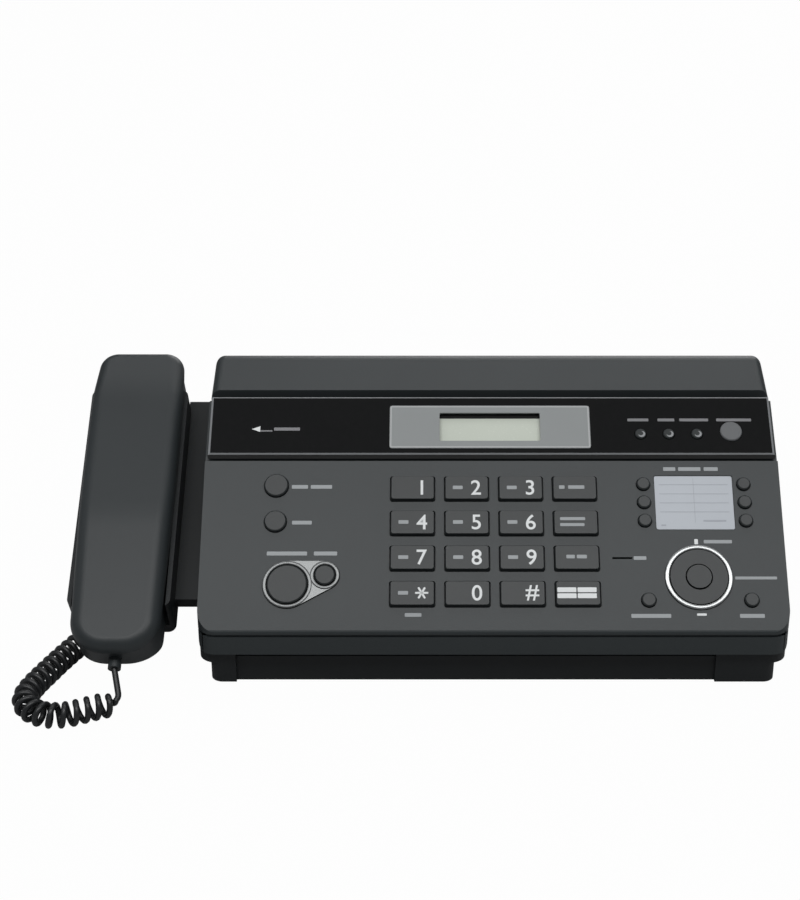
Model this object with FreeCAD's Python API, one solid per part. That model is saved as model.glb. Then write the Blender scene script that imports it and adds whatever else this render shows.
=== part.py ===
import FreeCAD, Part
import math
import os
from FreeCAD import Placement, Rotation, Vector

# A desk fax machine with a hinged key panel, a drop-in paper roll under a
# hinged top cover, and a corded handset in a cradle on its left side.
# Millimetres. X runs to the right, Y to the back, Z up. The model is drawn
# with Y = 0 at the panel's front lip and moved to its own centre at the end.

# Case
CASE_WIDTH = 292.0
CASE_DEPTH = 228.0
CRADLE_GAP = 14.0
CRADLE_WIDTH = 51.0
WALL = 2.4
SEAM = 0.6
OVERCUT = 1.0
FRONT_CORNER = 9.0
REAR_CORNER = 6.0
FOOT_HEIGHT = 2.0
FOOT_RADIUS = 7.0
FOOT_DRAFT = 1.0
FOOT_INSET = 22.0
TIER_HEIGHT = 13.0
TIER_INSET = 5.5
CASE_SETBACK = 3.0
SILL_HEIGHT = 15.8
EXIT_WIDTH = 238.0
EXIT_OFFSET = -8.6
EXIT_RECESS = 2.0
REAR_TOP = 60.0

# Rear sockets and vents, the cord socket and the main board
JACK_WIDTH = 11.6
JACK_HEIGHT = 8.0
JACK_DEPTH = 3.6
JACK_PITCH = 18.0
JACK_X = 128.0
JACK_Z = 32.0
INLET_X = 86.0
INLET_RADIUS = 4.5
VENT_COUNT = 9
VENT_PITCH = 8.0
VENT_WIDTH = 3.0
VENT_LENGTH = 24.0
VENT_X = -60.0
VENT_Z = 28.0
SOCKET_Y = 70.0
SOCKET_Z = 24.0
SOCKET_RADIUS = 4.5
SOCKET_LENGTH = 4.0
MAIN_BOARD_INSET = 6.0
MAIN_BOARD_FRONT = 70.0
MAIN_BOARD_BACK = 150.0
MAIN_BOARD_RISE = 6.0
POST_RADIUS = 3.0
POST_INSET = 6.0

# Key panel and display band
LIP_HEIGHT = 32.5
LIP_BOTTOM = 19.5
PANEL_SLOPE = 41.6
PANEL_LENGTH = 91.0
PANEL_SKIN = 2.4
PANEL_SKIRT = 12.0
EDGE_ROUND = 2.0
GROOVE_LENGTH = 3.4
GROOVE_DEPTH = 2.2
BAND_SLOPE = 34.7
BAND_LENGTH = 35.3
BAND_BEVEL = 1.1
BAND_MARGIN = 1.2
BAND_END_GAP = 0.2
LIP_LINE_WIDTH = 1.5
LIP_LINE_DEPTH = 1.0
LIP_LINE_Z = 29.3
DISPLAY_X = 32.0
DISPLAY_S = 16.5
DISPLAY_WIDTH = 103.2
DISPLAY_LENGTH = 25.5
DISPLAY_CORNER = 1.5
DISPLAY_RISE = 0.4
WINDOW_WIDTH = 51.8
WINDOW_LENGTH = 16.8
WINDOW_CORNER = 0.8
MODULE_RIM = 2.3
MODULE_ROOM = 2.5
MIC_X = 92.0
MIC_S = 37.9
MIC_LENGTH = 10.0
MIC_WIDTH = 1.0
TRIM_SINK = 0.6
HINGE_SETBACK = 6.0
HINGE_GAP = 0.5
LUG_THICKNESS = 4.0
LUG_GAP = 0.6

# Document path under the panel
GUIDE_DEPTH = 9.5
GUIDE_THICKNESS = 2.0
GUIDE_START = -2.0
GUIDE_END = 126.0
UPPER_GUIDE_START = 12.0
PAPER_GAP = 3.0
BOARD_DEPTH = 7.2
BOARD_THICKNESS = 1.6
BOARD_POSTS = [
    (-104.0, 78.0),
    (-104.0, 12.0),
    (-30.0, 78.0),
    (-30.0, 12.0),
    (97.0, 78.0),
    (97.0, 12.0),
    (170.0, 50.0),
]
BAND_BOARD = (103.0, 1.0, 170.0, 24.0)
BAND_POSTS = [(116.6, 21.0), (147.0, 4.0), (166.0, 21.0)]

# Top cover
COVER_START = 106.2
COVER_FRONT_HEIGHT = 115.9
CREST_AT = 134.0
HEIGHT = 124.4
CREST_ROUND = 10.0
COVER_REAR_HEIGHT = 80.0
COVER_SHOULDER = 9.0
COVER_LIP = 6.0
COVER_REAR_INSET = 3.5
COVER_SIDE_ROUND = 5.0

# Keys
KEY_CLEARANCE = 0.35
KEY_TRAVEL = 1.2
KEY_RISE = 2.2
KEY_TAPER = 0.6
KEY_CORNER = 1.2
KEY_HOLE_CORNER = 1.4
ROUND_RISE = 1.8
ROUND_BEVEL = 0.6
DOME_GAP = 0.1
FLANGE = 1.2
FLANGE_THICKNESS = 1.0
FLANGE_GAP = 0.15
STEM_RADIUS = 1.5
DIAL_KEY_WIDTH = 22.4
DIAL_KEY_LENGTH = 13.2
DIAL_PITCH_X = 27.3
DIAL_PITCH_S = 18.7
DIAL_FIRST_X = -7.6
DIAL_FIRST_S = 75.5
CARD_X = 134.6
CARD_S = 68.2
CARD_WIDTH = 39.4
CARD_LENGTH = 28.9
CARD_CORNER = 1.0
CARD_THICKNESS = 0.4
ONE_TOUCH_OFFSET = 25.4
ONE_TOUCH_PITCH = 9.9
ONE_TOUCH_RADIUS = 3.4
NAVIGATOR_S = 28.2
NAVIGATOR_TRIM = 2.3
NAVIGATOR_RADIUS = 16.9
SET_RADIUS = 6.1
ROCK_GAP = 0.9
START_PLACE = (-69.6, 24.3)
START_RADIUS = 10.0
COPY_PLACE = (-51.0, 29.1)
COPY_RADIUS = 5.1
RING_WIDTH = 2.3
RING_RISE = 1.2
BAND_KEY_S = 12.3
BAND_KEY_RADIUS = 2.9

# Rollers and drive
FRAME_INSET = 27.0
FRAME_THICKNESS = 3.0
PIN_RADIUS = 2.5
PIN_CLEARANCE = 0.08
EAR_WALL = 2.0
SHAFT_RADIUS = 3.0
SHAFT_STAND_OUT = 2.0
BEARING_WALL = 3.0
FEED_RADIUS = 7.0
EJECT_RADIUS = 6.0
ROLLER_PROUD = 0.8
ROLLER_LENGTH = 214.0
SLOT_MARGIN = 1.0
FEED_AT = 74.0
EJECT_AT = 16.0
SENSOR_AT = 45.0
SENSOR_WIDTH = 14.0
SENSOR_HEIGHT = 11.0
SENSOR_SINK = 0.2
PLATEN_AT = (124.0, 102.0)
PLATEN_RADIUS = 7.0
HEAD_GAP = 0.4
HEAD_WIDTH = 15.0
HEAD_HEIGHT = 10.0
GEAR_MODULE = 0.8
PRESSURE_ANGLE = 20.0
DEDENDUM = 1.25
GEAR_GAP = 1.0
PLATEN_TEETH = 30
PINION_TEETH = 12
GEAR_WIDTH = 6.0
GEAR_BACKLASH = 0.35
MOTOR_TURN = -70.0
MOTOR_RADIUS = 13.0
MOTOR_LENGTH = 14.0
MOTOR_GAP = 1.5
MOTOR_SHAFT = 1.5
MOTOR_LEG_RADIUS = 2.5
MOTOR_LEG_REACH = 9.5
MOTOR_LEG_SPREAD = 50.0
ROLL_AT = (176.0, 66.0)
ROLL_RADIUS = 24.0
ROLL_WIDTH = 216.0
CORE_RADIUS = 12.7
WELL_RADIUS = 28.0
WELL_WALL = 2.0
WELL_RIM_RISE = 14.0
ROLL_CLEARANCE = 0.4

# Cradle and handset
CRADLE_SLOPE = 32.0
CRADLE_FRONT = (11.8, 40.3)
CRADLE_LENGTH = 130.0
CRADLE_HEIGHT = 28.0
CRADLE_WALL = 2.2
CRADLE_CORNER = 4.0
CRADLE_FLOOR = 20.5
SADDLE_START = 30.0
SADDLE_END = 97.0
SADDLE_DROP = 7.0
BRIDGE_START = 12.0
BRIDGE_END = 133.0
BRIDGE_DROP = 15.5
BRIDGE_THICKNESS = 8.0
HANDSET_WIDTH = 47.6
HANDSET_BACK = 151.0
HANDSET_TIP = -26.5
HANDSET_CROWN = 12.0
HANDSET_WALL = 2.0
HANDSET_SPLIT = 0.8
HANDSET_SIDE_GAP = 0.8
TIP_SHARE = 0.92
TIP_CORNER = 18.0
HEEL_SHARE = 0.92
HEEL_CORNER = 10.0
WAIST_START = 66.0
WAIST_END = 122.0
WAIST_ROUND = 120.0
SHOULDER_ROUND = 60.0
ARCH_START = 46.0
ARCH_END = 121.0
ARCH_ROUND = 150.0
TIP_FALL = 6.0
HEEL_FALL = 5.0
EDGE_ROLL = 7.0
CUP_DEPTH = 20.0
GRIP_DEPTH = 5.0
CUP_MARGIN = 1.0
CUP_SLOPE = 5.0
CUP_LIFT = 8.0
CUP_ROUND = 10.0
CUP_EDGE = 5.0
MOUTH_CUP = 14.0
EAR_CUP = 12.0
HOOK_GAP = 0.6
GLAND_RADIUS = 3.2
GLAND_LENGTH = 4.0
GLAND_ROOT = 4.0
GLAND_LEVEL = -8.0
HOOK_RADIUS = 3.5
HOOK_S = 84.0
HOOK_FLOOR = 2.0
HOOK_FLOOR_GAP = 0.3

# Handset cord
WIRE_RADIUS = 1.5
CURL_RADIUS = 5.0
CURL_PITCH = 5.2
CORD_FLOOR_GAP = 0.2
CORD_END_GAP = 0.1
CORD_END_RUN = 10.0
ARC_SHARE = 0.45
LEAD_STEPS = 6
TAIL_STEPS = 3
CURL_STEPS = 4
GAP_STEPS = 24

# Worked-out places
WIDTH = CASE_WIDTH + CRADLE_GAP + CRADLE_WIDTH
CASE_RIGHT = WIDTH / 2
CASE_LEFT = CASE_RIGHT - CASE_WIDTH
CASE_MIDDLE = (CASE_LEFT + CASE_RIGHT) / 2
CRADLE_LEFT = -WIDTH / 2
CRADLE_RIGHT = CRADLE_LEFT + CRADLE_WIDTH
CRADLE_MIDDLE = (CRADLE_LEFT + CRADLE_RIGHT) / 2
EXIT_LEFT = CASE_MIDDLE + EXIT_OFFSET - EXIT_WIDTH / 2
EXIT_RIGHT = EXIT_LEFT + EXIT_WIDTH
FRAME_LEFT = CASE_LEFT + FRAME_INSET
FRAME_RIGHT = CASE_RIGHT - FRAME_INSET
FRAME_INNER_LEFT = FRAME_LEFT + FRAME_THICKNESS
FRAME_INNER_RIGHT = FRAME_RIGHT - FRAME_THICKNESS
FRONT_INNER = CASE_SETBACK + EXIT_RECESS + WALL
FLOOR = FOOT_HEIGHT + WALL
LOWER_GUIDE_DEPTH = GUIDE_DEPTH + GUIDE_THICKNESS + PAPER_GAP
BOARD_LEFT = FRAME_INNER_LEFT + MAIN_BOARD_INSET
BOARD_RIGHT = FRAME_INNER_RIGHT - MAIN_BOARD_INSET
BAND_SEAT = GROOVE_DEPTH
PANEL_UNDER = BAND_SEAT + PANEL_SKIN
THROUGH = PANEL_UNDER + 2 * OVERCUT
EAR = PIN_RADIUS + EAR_WALL
COVER_REAR = CASE_DEPTH - COVER_REAR_INSET


def tilted(y, z, slope):
    """A frame with x to the right, y up the slope and z square out of it."""
    return Placement(Vector(0, y, z), Rotation(Vector(1, 0, 0), slope))


TABLE = Placement()
SIDE = Placement(Vector(), Rotation(Vector(1, 1, 1), 120))
PANEL = tilted(0, LIP_HEIGHT, PANEL_SLOPE)
BAND_FOOT = PANEL.multVec(Vector(0, PANEL_LENGTH + GROOVE_LENGTH, 0))
BAND = tilted(BAND_FOOT.y, BAND_FOOT.z, BAND_SLOPE)
BAND_HEAD = BAND.multVec(Vector(0, BAND_LENGTH, 0))
CRADLE = tilted(CRADLE_FRONT[0], CRADLE_FRONT[1], CRADLE_SLOPE)


def outline(points):
    """A closed wire through (u, v) or (u, v, radius) corners."""
    ends = []
    count = len(points)
    for i, point in enumerate(points):
        here = Vector(point[0], point[1], 0)
        if len(point) < 3:
            ends.append((here, None, here))
            continue
        before = Vector(points[i - 1][0], points[i - 1][1], 0)
        after = Vector(points[(i + 1) % count][0], points[(i + 1) % count][1], 0)
        back = (before - here).normalize()
        ahead = (after - here).normalize()
        half = back.getAngle(ahead) / 2
        inward = (back + ahead).normalize()
        reach = point[2] / math.tan(half)
        middle = here + inward * (point[2] / math.sin(half) - point[2])
        ends.append((here + back * reach, middle, here + ahead * reach))
    edges = []
    for i, (start, middle, stop) in enumerate(ends):
        if middle:
            edges.append(Part.Arc(start, middle, stop).toShape())
        following = ends[(i + 1) % count][0]
        if stop.distanceToPoint(following) > 1e-6:
            edges.append(Part.LineSegment(stop, following).toShape())
    return Part.Wire(edges)


def rectangle(left, low, right, high, radius=0.0):
    """Corners of a rectangle, rounded where a radius is given."""
    corners = [(left, low), (right, low), (right, high), (left, high)]
    if radius:
        return [corner + (radius,) for corner in corners]
    return corners


def placed(solid, frame):
    solid.Placement = frame.multiply(solid.Placement)
    return solid


def plate(frame, points, low, high):
    """An outline in a frame's own plane, thickened from low to high."""
    face = Part.Face(outline(points))
    face.translate(Vector(0, 0, low))
    return placed(face.extrude(Vector(0, 0, high - low)), frame)


def profile(points, left, right):
    """A side view outline of (y, z) corners, drawn out from left to right."""
    return plate(SIDE, points, left, right)


def box(left, right, front, back, low, high):
    return Part.makeBox(right - left, back - front, high - low, Vector(left, front, low))


def peg(frame, x, s, radius, low, high):
    """A round bar standing square to a frame's plane."""
    return placed(Part.makeCylinder(radius, high - low, Vector(x, s, low)), frame)


def bar(y, z, radius, left, right):
    """A round bar lying along X."""
    return Part.makeCylinder(radius, right - left, Vector(left, y, z), Vector(1, 0, 0))


def fused(*solids):
    return solids[0].multiFuse(list(solids[1:])).removeSplitter()


def panel_point(s, depth):
    """(y, z) of a point up the panel and below its face."""
    point = PANEL.multVec(Vector(0, s, -depth))
    return point.y, point.z


def panel_line(y, depth):
    """Height of a line below the panel's face, parallel to it."""
    slope = math.radians(PANEL_SLOPE)
    return LIP_HEIGHT + y * math.tan(slope) - depth / math.cos(slope)


def band_point(s, depth):
    point = BAND.multVec(Vector(0, s, -depth))
    return point.y, point.z


def band_line(y, depth):
    """Height of a line below the band's face, parallel to it."""
    slope = math.radians(BAND_SLOPE)
    return BAND_FOOT.z + (y - BAND_FOOT.y) * math.tan(slope) - depth / math.cos(slope)


nodes = {}

# Pivots: the panel's under the band, the cover's in its rounded lower rear edge
PANEL_PIVOT = band_point(BAND_LENGTH - HINGE_SETBACK, PANEL_UNDER + HINGE_GAP + EAR)
COVER_SEAM_FRONT = panel_line(BAND_HEAD.y, PANEL_SKIRT)


def cover_seam(y):
    """Height of the line where the cover's skirts meet the lower case."""
    share = (y - BAND_HEAD.y) / (CASE_DEPTH - BAND_HEAD.y)
    return COVER_SEAM_FRONT + (REAR_TOP - COVER_SEAM_FRONT) * share


COVER_PIVOT = (COVER_REAR - EAR, cover_seam(COVER_REAR - EAR) + EAR)

# Keys: name, place on the panel and size
DIAL_NAMES = [
    ["key_1", "key_2", "key_3", "key_function_1"],
    ["key_4", "key_5", "key_6", "key_function_2"],
    ["key_7", "key_8", "key_9", "key_function_3"],
    ["key_star", "key_0", "key_hash", "key_function_4"],
]
dial_keys = {}
for row, names in enumerate(DIAL_NAMES):
    for column, name in enumerate(names):
        dial_keys[name] = (DIAL_FIRST_X + column * DIAL_PITCH_X, DIAL_FIRST_S - row * DIAL_PITCH_S)

round_keys = {
    "key_caller_list": (-76.6, 77.2, 6.1),
    "key_stop": (-76.5, 57.8, 5.6),
    "key_start": START_PLACE + (START_RADIUS,),
    "key_copy": COPY_PLACE + (COPY_RADIUS,),
    "key_broadcast": (CARD_X - ONE_TOUCH_OFFSET, 16.3, 3.6),
    "key_menu": (CARD_X + ONE_TOUCH_OFFSET, 16.3, 3.6),
}
for number in range(6):
    side = -1 if number < 3 else 1
    round_keys["key_one_touch_%d" % (number + 1)] = (
        CARD_X + side * ONE_TOUCH_OFFSET,
        CARD_S + (1 - number % 3) * ONE_TOUCH_PITCH,
        ONE_TOUCH_RADIUS,
    )

band_keys = {
    "key_record": (109.4, BAND_KEY_S, BAND_KEY_RADIUS),
    "key_erase": (123.9, BAND_KEY_S, BAND_KEY_RADIUS),
    "key_playback": (138.4, BAND_KEY_S, BAND_KEY_RADIUS),
    "key_auto_answer": (156.0, 13.8, 5.6),
}

# Lower case: a tub on a narrower plinth, open at the top
seam_front = panel_line(CASE_SETBACK, PANEL_SKIRT) - SEAM
tier = profile(
    [
        (CASE_SETBACK, TIER_HEIGHT),
        (CASE_DEPTH, TIER_HEIGHT),
        (CASE_DEPTH, REAR_TOP - SEAM),
        (BAND_HEAD.y, COVER_SEAM_FRONT - SEAM),
        (CASE_SETBACK, seam_front),
    ],
    CASE_LEFT,
    CASE_RIGHT,
)
plan = [
    (CASE_LEFT, CASE_SETBACK, FRONT_CORNER),
    (CASE_RIGHT, CASE_SETBACK, FRONT_CORNER),
    (CASE_RIGHT, CASE_DEPTH, REAR_CORNER),
    (CASE_LEFT, CASE_DEPTH, REAR_CORNER),
]
tier = tier.common(plate(TABLE, plan, 0, HEIGHT))
tier_room = box(
    CASE_LEFT + WALL, CASE_RIGHT - WALL, FRONT_INNER, CASE_DEPTH - WALL, TIER_HEIGHT + WALL, HEIGHT
)
plinth_left = CASE_LEFT + TIER_INSET
plinth_right = CASE_RIGHT - TIER_INSET
plinth_back = CASE_DEPTH - TIER_INSET
plinth = plate(
    TABLE,
    rectangle(plinth_left, CASE_SETBACK, plinth_right, plinth_back, REAR_CORNER),
    FOOT_HEIGHT,
    TIER_HEIGHT,
)
plinth_room = box(
    plinth_left + WALL,
    plinth_right - WALL,
    FRONT_INNER,
    plinth_back - WALL,
    FLOOR,
    HEIGHT,
)
exit_recess = box(EXIT_LEFT, EXIT_RIGHT, 0, CASE_SETBACK + EXIT_RECESS, 0, HEIGHT)
exit_opening = box(EXIT_LEFT, EXIT_RIGHT, 0, FRONT_INNER + OVERCUT, SILL_HEIGHT, HEIGHT)

# Sockets for the telephone line and the mains lead in the rear wall
jack_back = box(
    INLET_X - 2 * INLET_RADIUS,
    JACK_X + JACK_PITCH + JACK_WIDTH,
    CASE_DEPTH - WALL - JACK_DEPTH,
    CASE_DEPTH - WALL / 2,
    JACK_Z - JACK_HEIGHT,
    JACK_Z + JACK_HEIGHT,
)
rear_cuts = []
for number in range(2):
    left = JACK_X + number * JACK_PITCH
    rear_cuts.append(
        box(
            left,
            left + JACK_WIDTH,
            CASE_DEPTH - JACK_DEPTH,
            CASE_DEPTH,
            JACK_Z - JACK_HEIGHT / 2,
            JACK_Z + JACK_HEIGHT / 2,
        )
    )
inlet_floor = Vector(INLET_X, CASE_DEPTH - JACK_DEPTH, JACK_Z)
rear_cuts.append(Part.makeCylinder(INLET_RADIUS, JACK_DEPTH, inlet_floor, Vector(0, 1, 0)))
for number in range(VENT_COUNT):
    left = VENT_X + number * VENT_PITCH
    rear_cuts.append(
        box(left, left + VENT_WIDTH, CASE_DEPTH - 2 * WALL, CASE_DEPTH, VENT_Z, VENT_Z + VENT_LENGTH)
    )
cord_socket = bar(SOCKET_Y, SOCKET_Z, SOCKET_RADIUS, CASE_LEFT - SOCKET_LENGTH, CASE_LEFT + WALL / 2)

# Posts that the main board stands on
board_posts = []
for x in (BOARD_LEFT + POST_INSET, BOARD_RIGHT - POST_INSET):
    for y in (MAIN_BOARD_FRONT + POST_INSET, MAIN_BOARD_BACK - POST_INSET):
        board_posts.append(peg(TABLE, x, y, POST_RADIUS, FLOOR - WALL / 2, FLOOR + MAIN_BOARD_RISE))
lower_case = fused(tier, plinth).cut(fused(tier_room, plinth_room))
lower_case = lower_case.cut([exit_recess, exit_opening])
lower_case = fused(lower_case, jack_back, cord_socket, *board_posts).cut(rear_cuts)
nodes["lower_cabinet"] = lower_case

feet = []
for x in (CASE_LEFT + FOOT_INSET, CASE_RIGHT - FOOT_INSET):
    for y in (FOOT_INSET, CASE_DEPTH - FOOT_INSET):
        feet.append(Part.makeCone(FOOT_RADIUS - FOOT_DRAFT, FOOT_RADIUS, FOOT_HEIGHT, Vector(x, y, 0)))
nodes["rubber_feet"] = Part.makeCompound(feet)

# Key panel: a skirted shell with a groove, a seat for the band and key holes
panel_rear = BAND_HEAD.y
panel_outer = profile(
    [
        (0, LIP_BOTTOM),
        (0, LIP_HEIGHT, EDGE_ROUND),
        panel_point(PANEL_LENGTH, 0),
        panel_point(PANEL_LENGTH, BAND_SEAT),
        band_point(0, BAND_SEAT),
        (panel_rear, band_line(panel_rear, BAND_SEAT)),
        (panel_rear, panel_line(panel_rear, PANEL_SKIRT)),
        (
            (LIP_BOTTOM - panel_line(0, PANEL_SKIRT)) / math.tan(math.radians(PANEL_SLOPE)),
            LIP_BOTTOM,
        ),
    ],
    CASE_LEFT,
    CASE_RIGHT,
)


def front_plan(inset):
    """Plan of the case with rounded front corners, drawn in by an inset."""
    return [
        (CASE_LEFT + inset, inset, FRONT_CORNER - inset),
        (CASE_RIGHT - inset, inset, FRONT_CORNER - inset),
        (CASE_RIGHT - inset, CASE_DEPTH),
        (CASE_LEFT + inset, CASE_DEPTH),
    ]


panel_outer = panel_outer.common(plate(TABLE, front_plan(0), 0, HEIGHT))
panel_room = profile(
    [
        (WALL, 0),
        (WALL, panel_line(WALL, PANEL_SKIN)),
        panel_point(PANEL_LENGTH - WALL, PANEL_SKIN),
        panel_point(PANEL_LENGTH - WALL, PANEL_UNDER),
        band_point(0, PANEL_UNDER),
        (panel_rear - WALL, band_line(panel_rear - WALL, PANEL_UNDER)),
        (panel_rear - WALL, 0),
    ],
    CASE_LEFT + WALL,
    CASE_RIGHT - WALL,
)
panel_shell = panel_outer.cut(panel_room)

# A fine line runs round the front just below the lip's edge
line_top = LIP_LINE_Z + LIP_LINE_WIDTH
lip_line = plate(TABLE, front_plan(0), LIP_LINE_Z, line_top).cut(
    plate(TABLE, front_plan(LIP_LINE_DEPTH), LIP_LINE_Z, line_top)
)


def around(x, s, width, length, grow=0.0, radius=0.0):
    """Corners of a rectangle about its middle."""
    half_x = width / 2 + grow
    half_s = length / 2 + grow
    return rectangle(x - half_x, s - half_s, x + half_x, s + half_s, radius)


panel_cuts = [lip_line]
for x, s in dial_keys.values():
    key_hole = around(x, s, DIAL_KEY_WIDTH, DIAL_KEY_LENGTH, KEY_CLEARANCE, KEY_HOLE_CORNER)
    panel_cuts.append(plate(PANEL, key_hole, -THROUGH, OVERCUT))
for x, s, radius in round_keys.values():
    panel_cuts.append(peg(PANEL, x, s, radius + KEY_CLEARANCE, -THROUGH, OVERCUT))
for x, s, radius in band_keys.values():
    panel_cuts.append(peg(BAND, x, s, radius + KEY_CLEARANCE, -THROUGH, OVERCUT))
card_bed = around(CARD_X, CARD_S, CARD_WIDTH, CARD_LENGTH, SEAM / 2, CARD_CORNER)
mic_slot = rectangle(MIC_X, MIC_S, MIC_X + MIC_LENGTH, MIC_S + MIC_WIDTH)
module_hole = around(DISPLAY_X, DISPLAY_S, WINDOW_WIDTH, WINDOW_LENGTH, MODULE_ROOM)
panel_cuts += [
    peg(PANEL, CARD_X, NAVIGATOR_S, NAVIGATOR_RADIUS - NAVIGATOR_TRIM, -THROUGH, OVERCUT),
    peg(PANEL, CARD_X, NAVIGATOR_S, NAVIGATOR_RADIUS + SEAM / 4, -TRIM_SINK, OVERCUT),
    plate(PANEL, card_bed, -TRIM_SINK, OVERCUT),
    plate(PANEL, mic_slot, -THROUGH, OVERCUT),
    plate(BAND, module_hole, -THROUGH, OVERCUT),
]


def linked_rings(grow, low, high):
    """The two rings round the start and copy keys, with the web between them."""
    big = START_RADIUS + RING_WIDTH + grow
    small = COPY_RADIUS + RING_WIDTH + grow
    start = Vector(START_PLACE[0], START_PLACE[1], 0)
    copy = Vector(COPY_PLACE[0], COPY_PLACE[1], 0)
    line = copy - start
    turn = math.atan2(line.y, line.x)
    spread = math.acos((big - small) / line.Length)
    corners = []
    for centre, radius, angle in (
        (start, big, turn + spread),
        (start, big, turn - spread),
        (copy, small, turn - spread),
        (copy, small, turn + spread),
    ):
        corners.append((centre.x + radius * math.cos(angle), centre.y + radius * math.sin(angle)))
    return fused(
        plate(PANEL, corners, low, high),
        peg(PANEL, start.x, start.y, big, low, high),
        peg(PANEL, copy.x, copy.y, small, low, high),
    )


panel_cuts.append(linked_rings(SEAM / 4, -TRIM_SINK, OVERCUT))
panel_shell = panel_shell.cut(panel_cuts)

# Two lugs under the band carry the panel's hinge pins outside the side frames
LEFT_LUG = (FRAME_LEFT - LUG_GAP - LUG_THICKNESS, FRAME_LEFT - LUG_GAP)
RIGHT_LUG = (FRAME_RIGHT + LUG_GAP, FRAME_RIGHT + LUG_GAP + LUG_THICKNESS)
LEFT_PIN = (LEFT_LUG[1], FRAME_INNER_LEFT)
RIGHT_PIN = (FRAME_INNER_RIGHT, RIGHT_LUG[0])
lug_top = band_point(BAND_LENGTH - HINGE_SETBACK, PANEL_UNDER - HINGE_GAP)
ear_notches = []
lugs = []
for lug, pin in ((LEFT_LUG, LEFT_PIN), (RIGHT_LUG, RIGHT_PIN)):
    web = plate(
        SIDE,
        [
            (PANEL_PIVOT[0] - EAR, PANEL_PIVOT[1]),
            (PANEL_PIVOT[0] + EAR, PANEL_PIVOT[1]),
            (lug_top[0] + EAR, lug_top[1]),
            (lug_top[0] - 2 * EAR, lug_top[1] - EAR),
        ],
        *lug,
    )
    lugs += [
        web.common(panel_outer),
        bar(*PANEL_PIVOT, EAR, *lug),
        bar(*PANEL_PIVOT, PIN_RADIUS, *pin),
    ]
    ear_notches.append(bar(*PANEL_PIVOT, EAR + LUG_GAP, pin[0] - LUG_GAP, pin[1] + LUG_GAP))

# Posts that the key boards are fixed to
posts = [peg(PANEL, x, s, POST_RADIUS, -BOARD_DEPTH, -PANEL_SKIN / 2) for x, s in BOARD_POSTS]
for x, s in BAND_POSTS:
    posts.append(peg(BAND, x, s, POST_RADIUS / 2, -BOARD_DEPTH, -PANEL_UNDER + PANEL_SKIN / 2))
nodes["operation_panel"] = fused(panel_shell.cut(ear_notches), *lugs, *posts)

# Band: a glossy plate with bevelled edges, seated across the panel's head
band_block = plate(
    BAND,
    rectangle(CASE_LEFT + BAND_MARGIN, 0, CASE_RIGHT - BAND_MARGIN, BAND_LENGTH - BAND_END_GAP),
    -BAND_SEAT,
    0,
)
edges = [
    edge
    for edge in band_block.Edges
    if all(abs(BAND.inverse().multVec(vertex.Point).z) < 1e-6 for vertex in edge.Vertexes)
]
band_block = band_block.makeChamfer(BAND_BEVEL, edges)
display_bed = around(DISPLAY_X, DISPLAY_S, DISPLAY_WIDTH, DISPLAY_LENGTH, SEAM / 4, DISPLAY_CORNER)
band_cuts = [
    plate(BAND, around(DISPLAY_X, DISPLAY_S, WINDOW_WIDTH, WINDOW_LENGTH), -THROUGH, OVERCUT),
    plate(BAND, display_bed, -TRIM_SINK, OVERCUT),
]
for x, s, radius in band_keys.values():
    band_cuts.append(peg(BAND, x, s, radius + KEY_CLEARANCE, -THROUGH, OVERCUT))
nodes["display_band"] = band_block.cut(band_cuts)

# Silver plate round the display window, the display behind it, and the card
silver_plate = around(DISPLAY_X, DISPLAY_S, DISPLAY_WIDTH, DISPLAY_LENGTH, 0, DISPLAY_CORNER)
window = around(DISPLAY_X, DISPLAY_S, WINDOW_WIDTH, WINDOW_LENGTH, 0, WINDOW_CORNER)
nodes["display_plate"] = plate(BAND, silver_plate, -TRIM_SINK, DISPLAY_RISE).cut(
    plate(BAND, window, -THROUGH, OVERCUT)
)
module = around(DISPLAY_X, DISPLAY_S, WINDOW_WIDTH, WINDOW_LENGTH, MODULE_RIM)
nodes["lcd_module"] = plate(BAND, module, -PANEL_UNDER, -BAND_SEAT)
card = around(CARD_X, CARD_S, CARD_WIDTH, CARD_LENGTH, 0, CARD_CORNER)
nodes["directory_card"] = plate(PANEL, card, -TRIM_SINK, CARD_THICKNESS - TRIM_SINK)

# Bright rings round the navigator and the start and copy keys
trim_ring = peg(PANEL, CARD_X, NAVIGATOR_S, NAVIGATOR_RADIUS, -TRIM_SINK, RING_RISE)
trim_ring = trim_ring.cut(
    peg(PANEL, CARD_X, NAVIGATOR_S, NAVIGATOR_RADIUS - NAVIGATOR_TRIM, -THROUGH, RING_RISE + OVERCUT)
)
key_trim = linked_rings(0, -TRIM_SINK, RING_RISE)
for place, radius in ((START_PLACE, START_RADIUS), (COPY_PLACE, COPY_RADIUS)):
    key_trim = key_trim.cut(peg(PANEL, *place, radius + KEY_CLEARANCE, -THROUGH, RING_RISE + OVERCUT))
nodes["key_rings"] = Part.makeCompound([trim_ring, key_trim])

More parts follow.
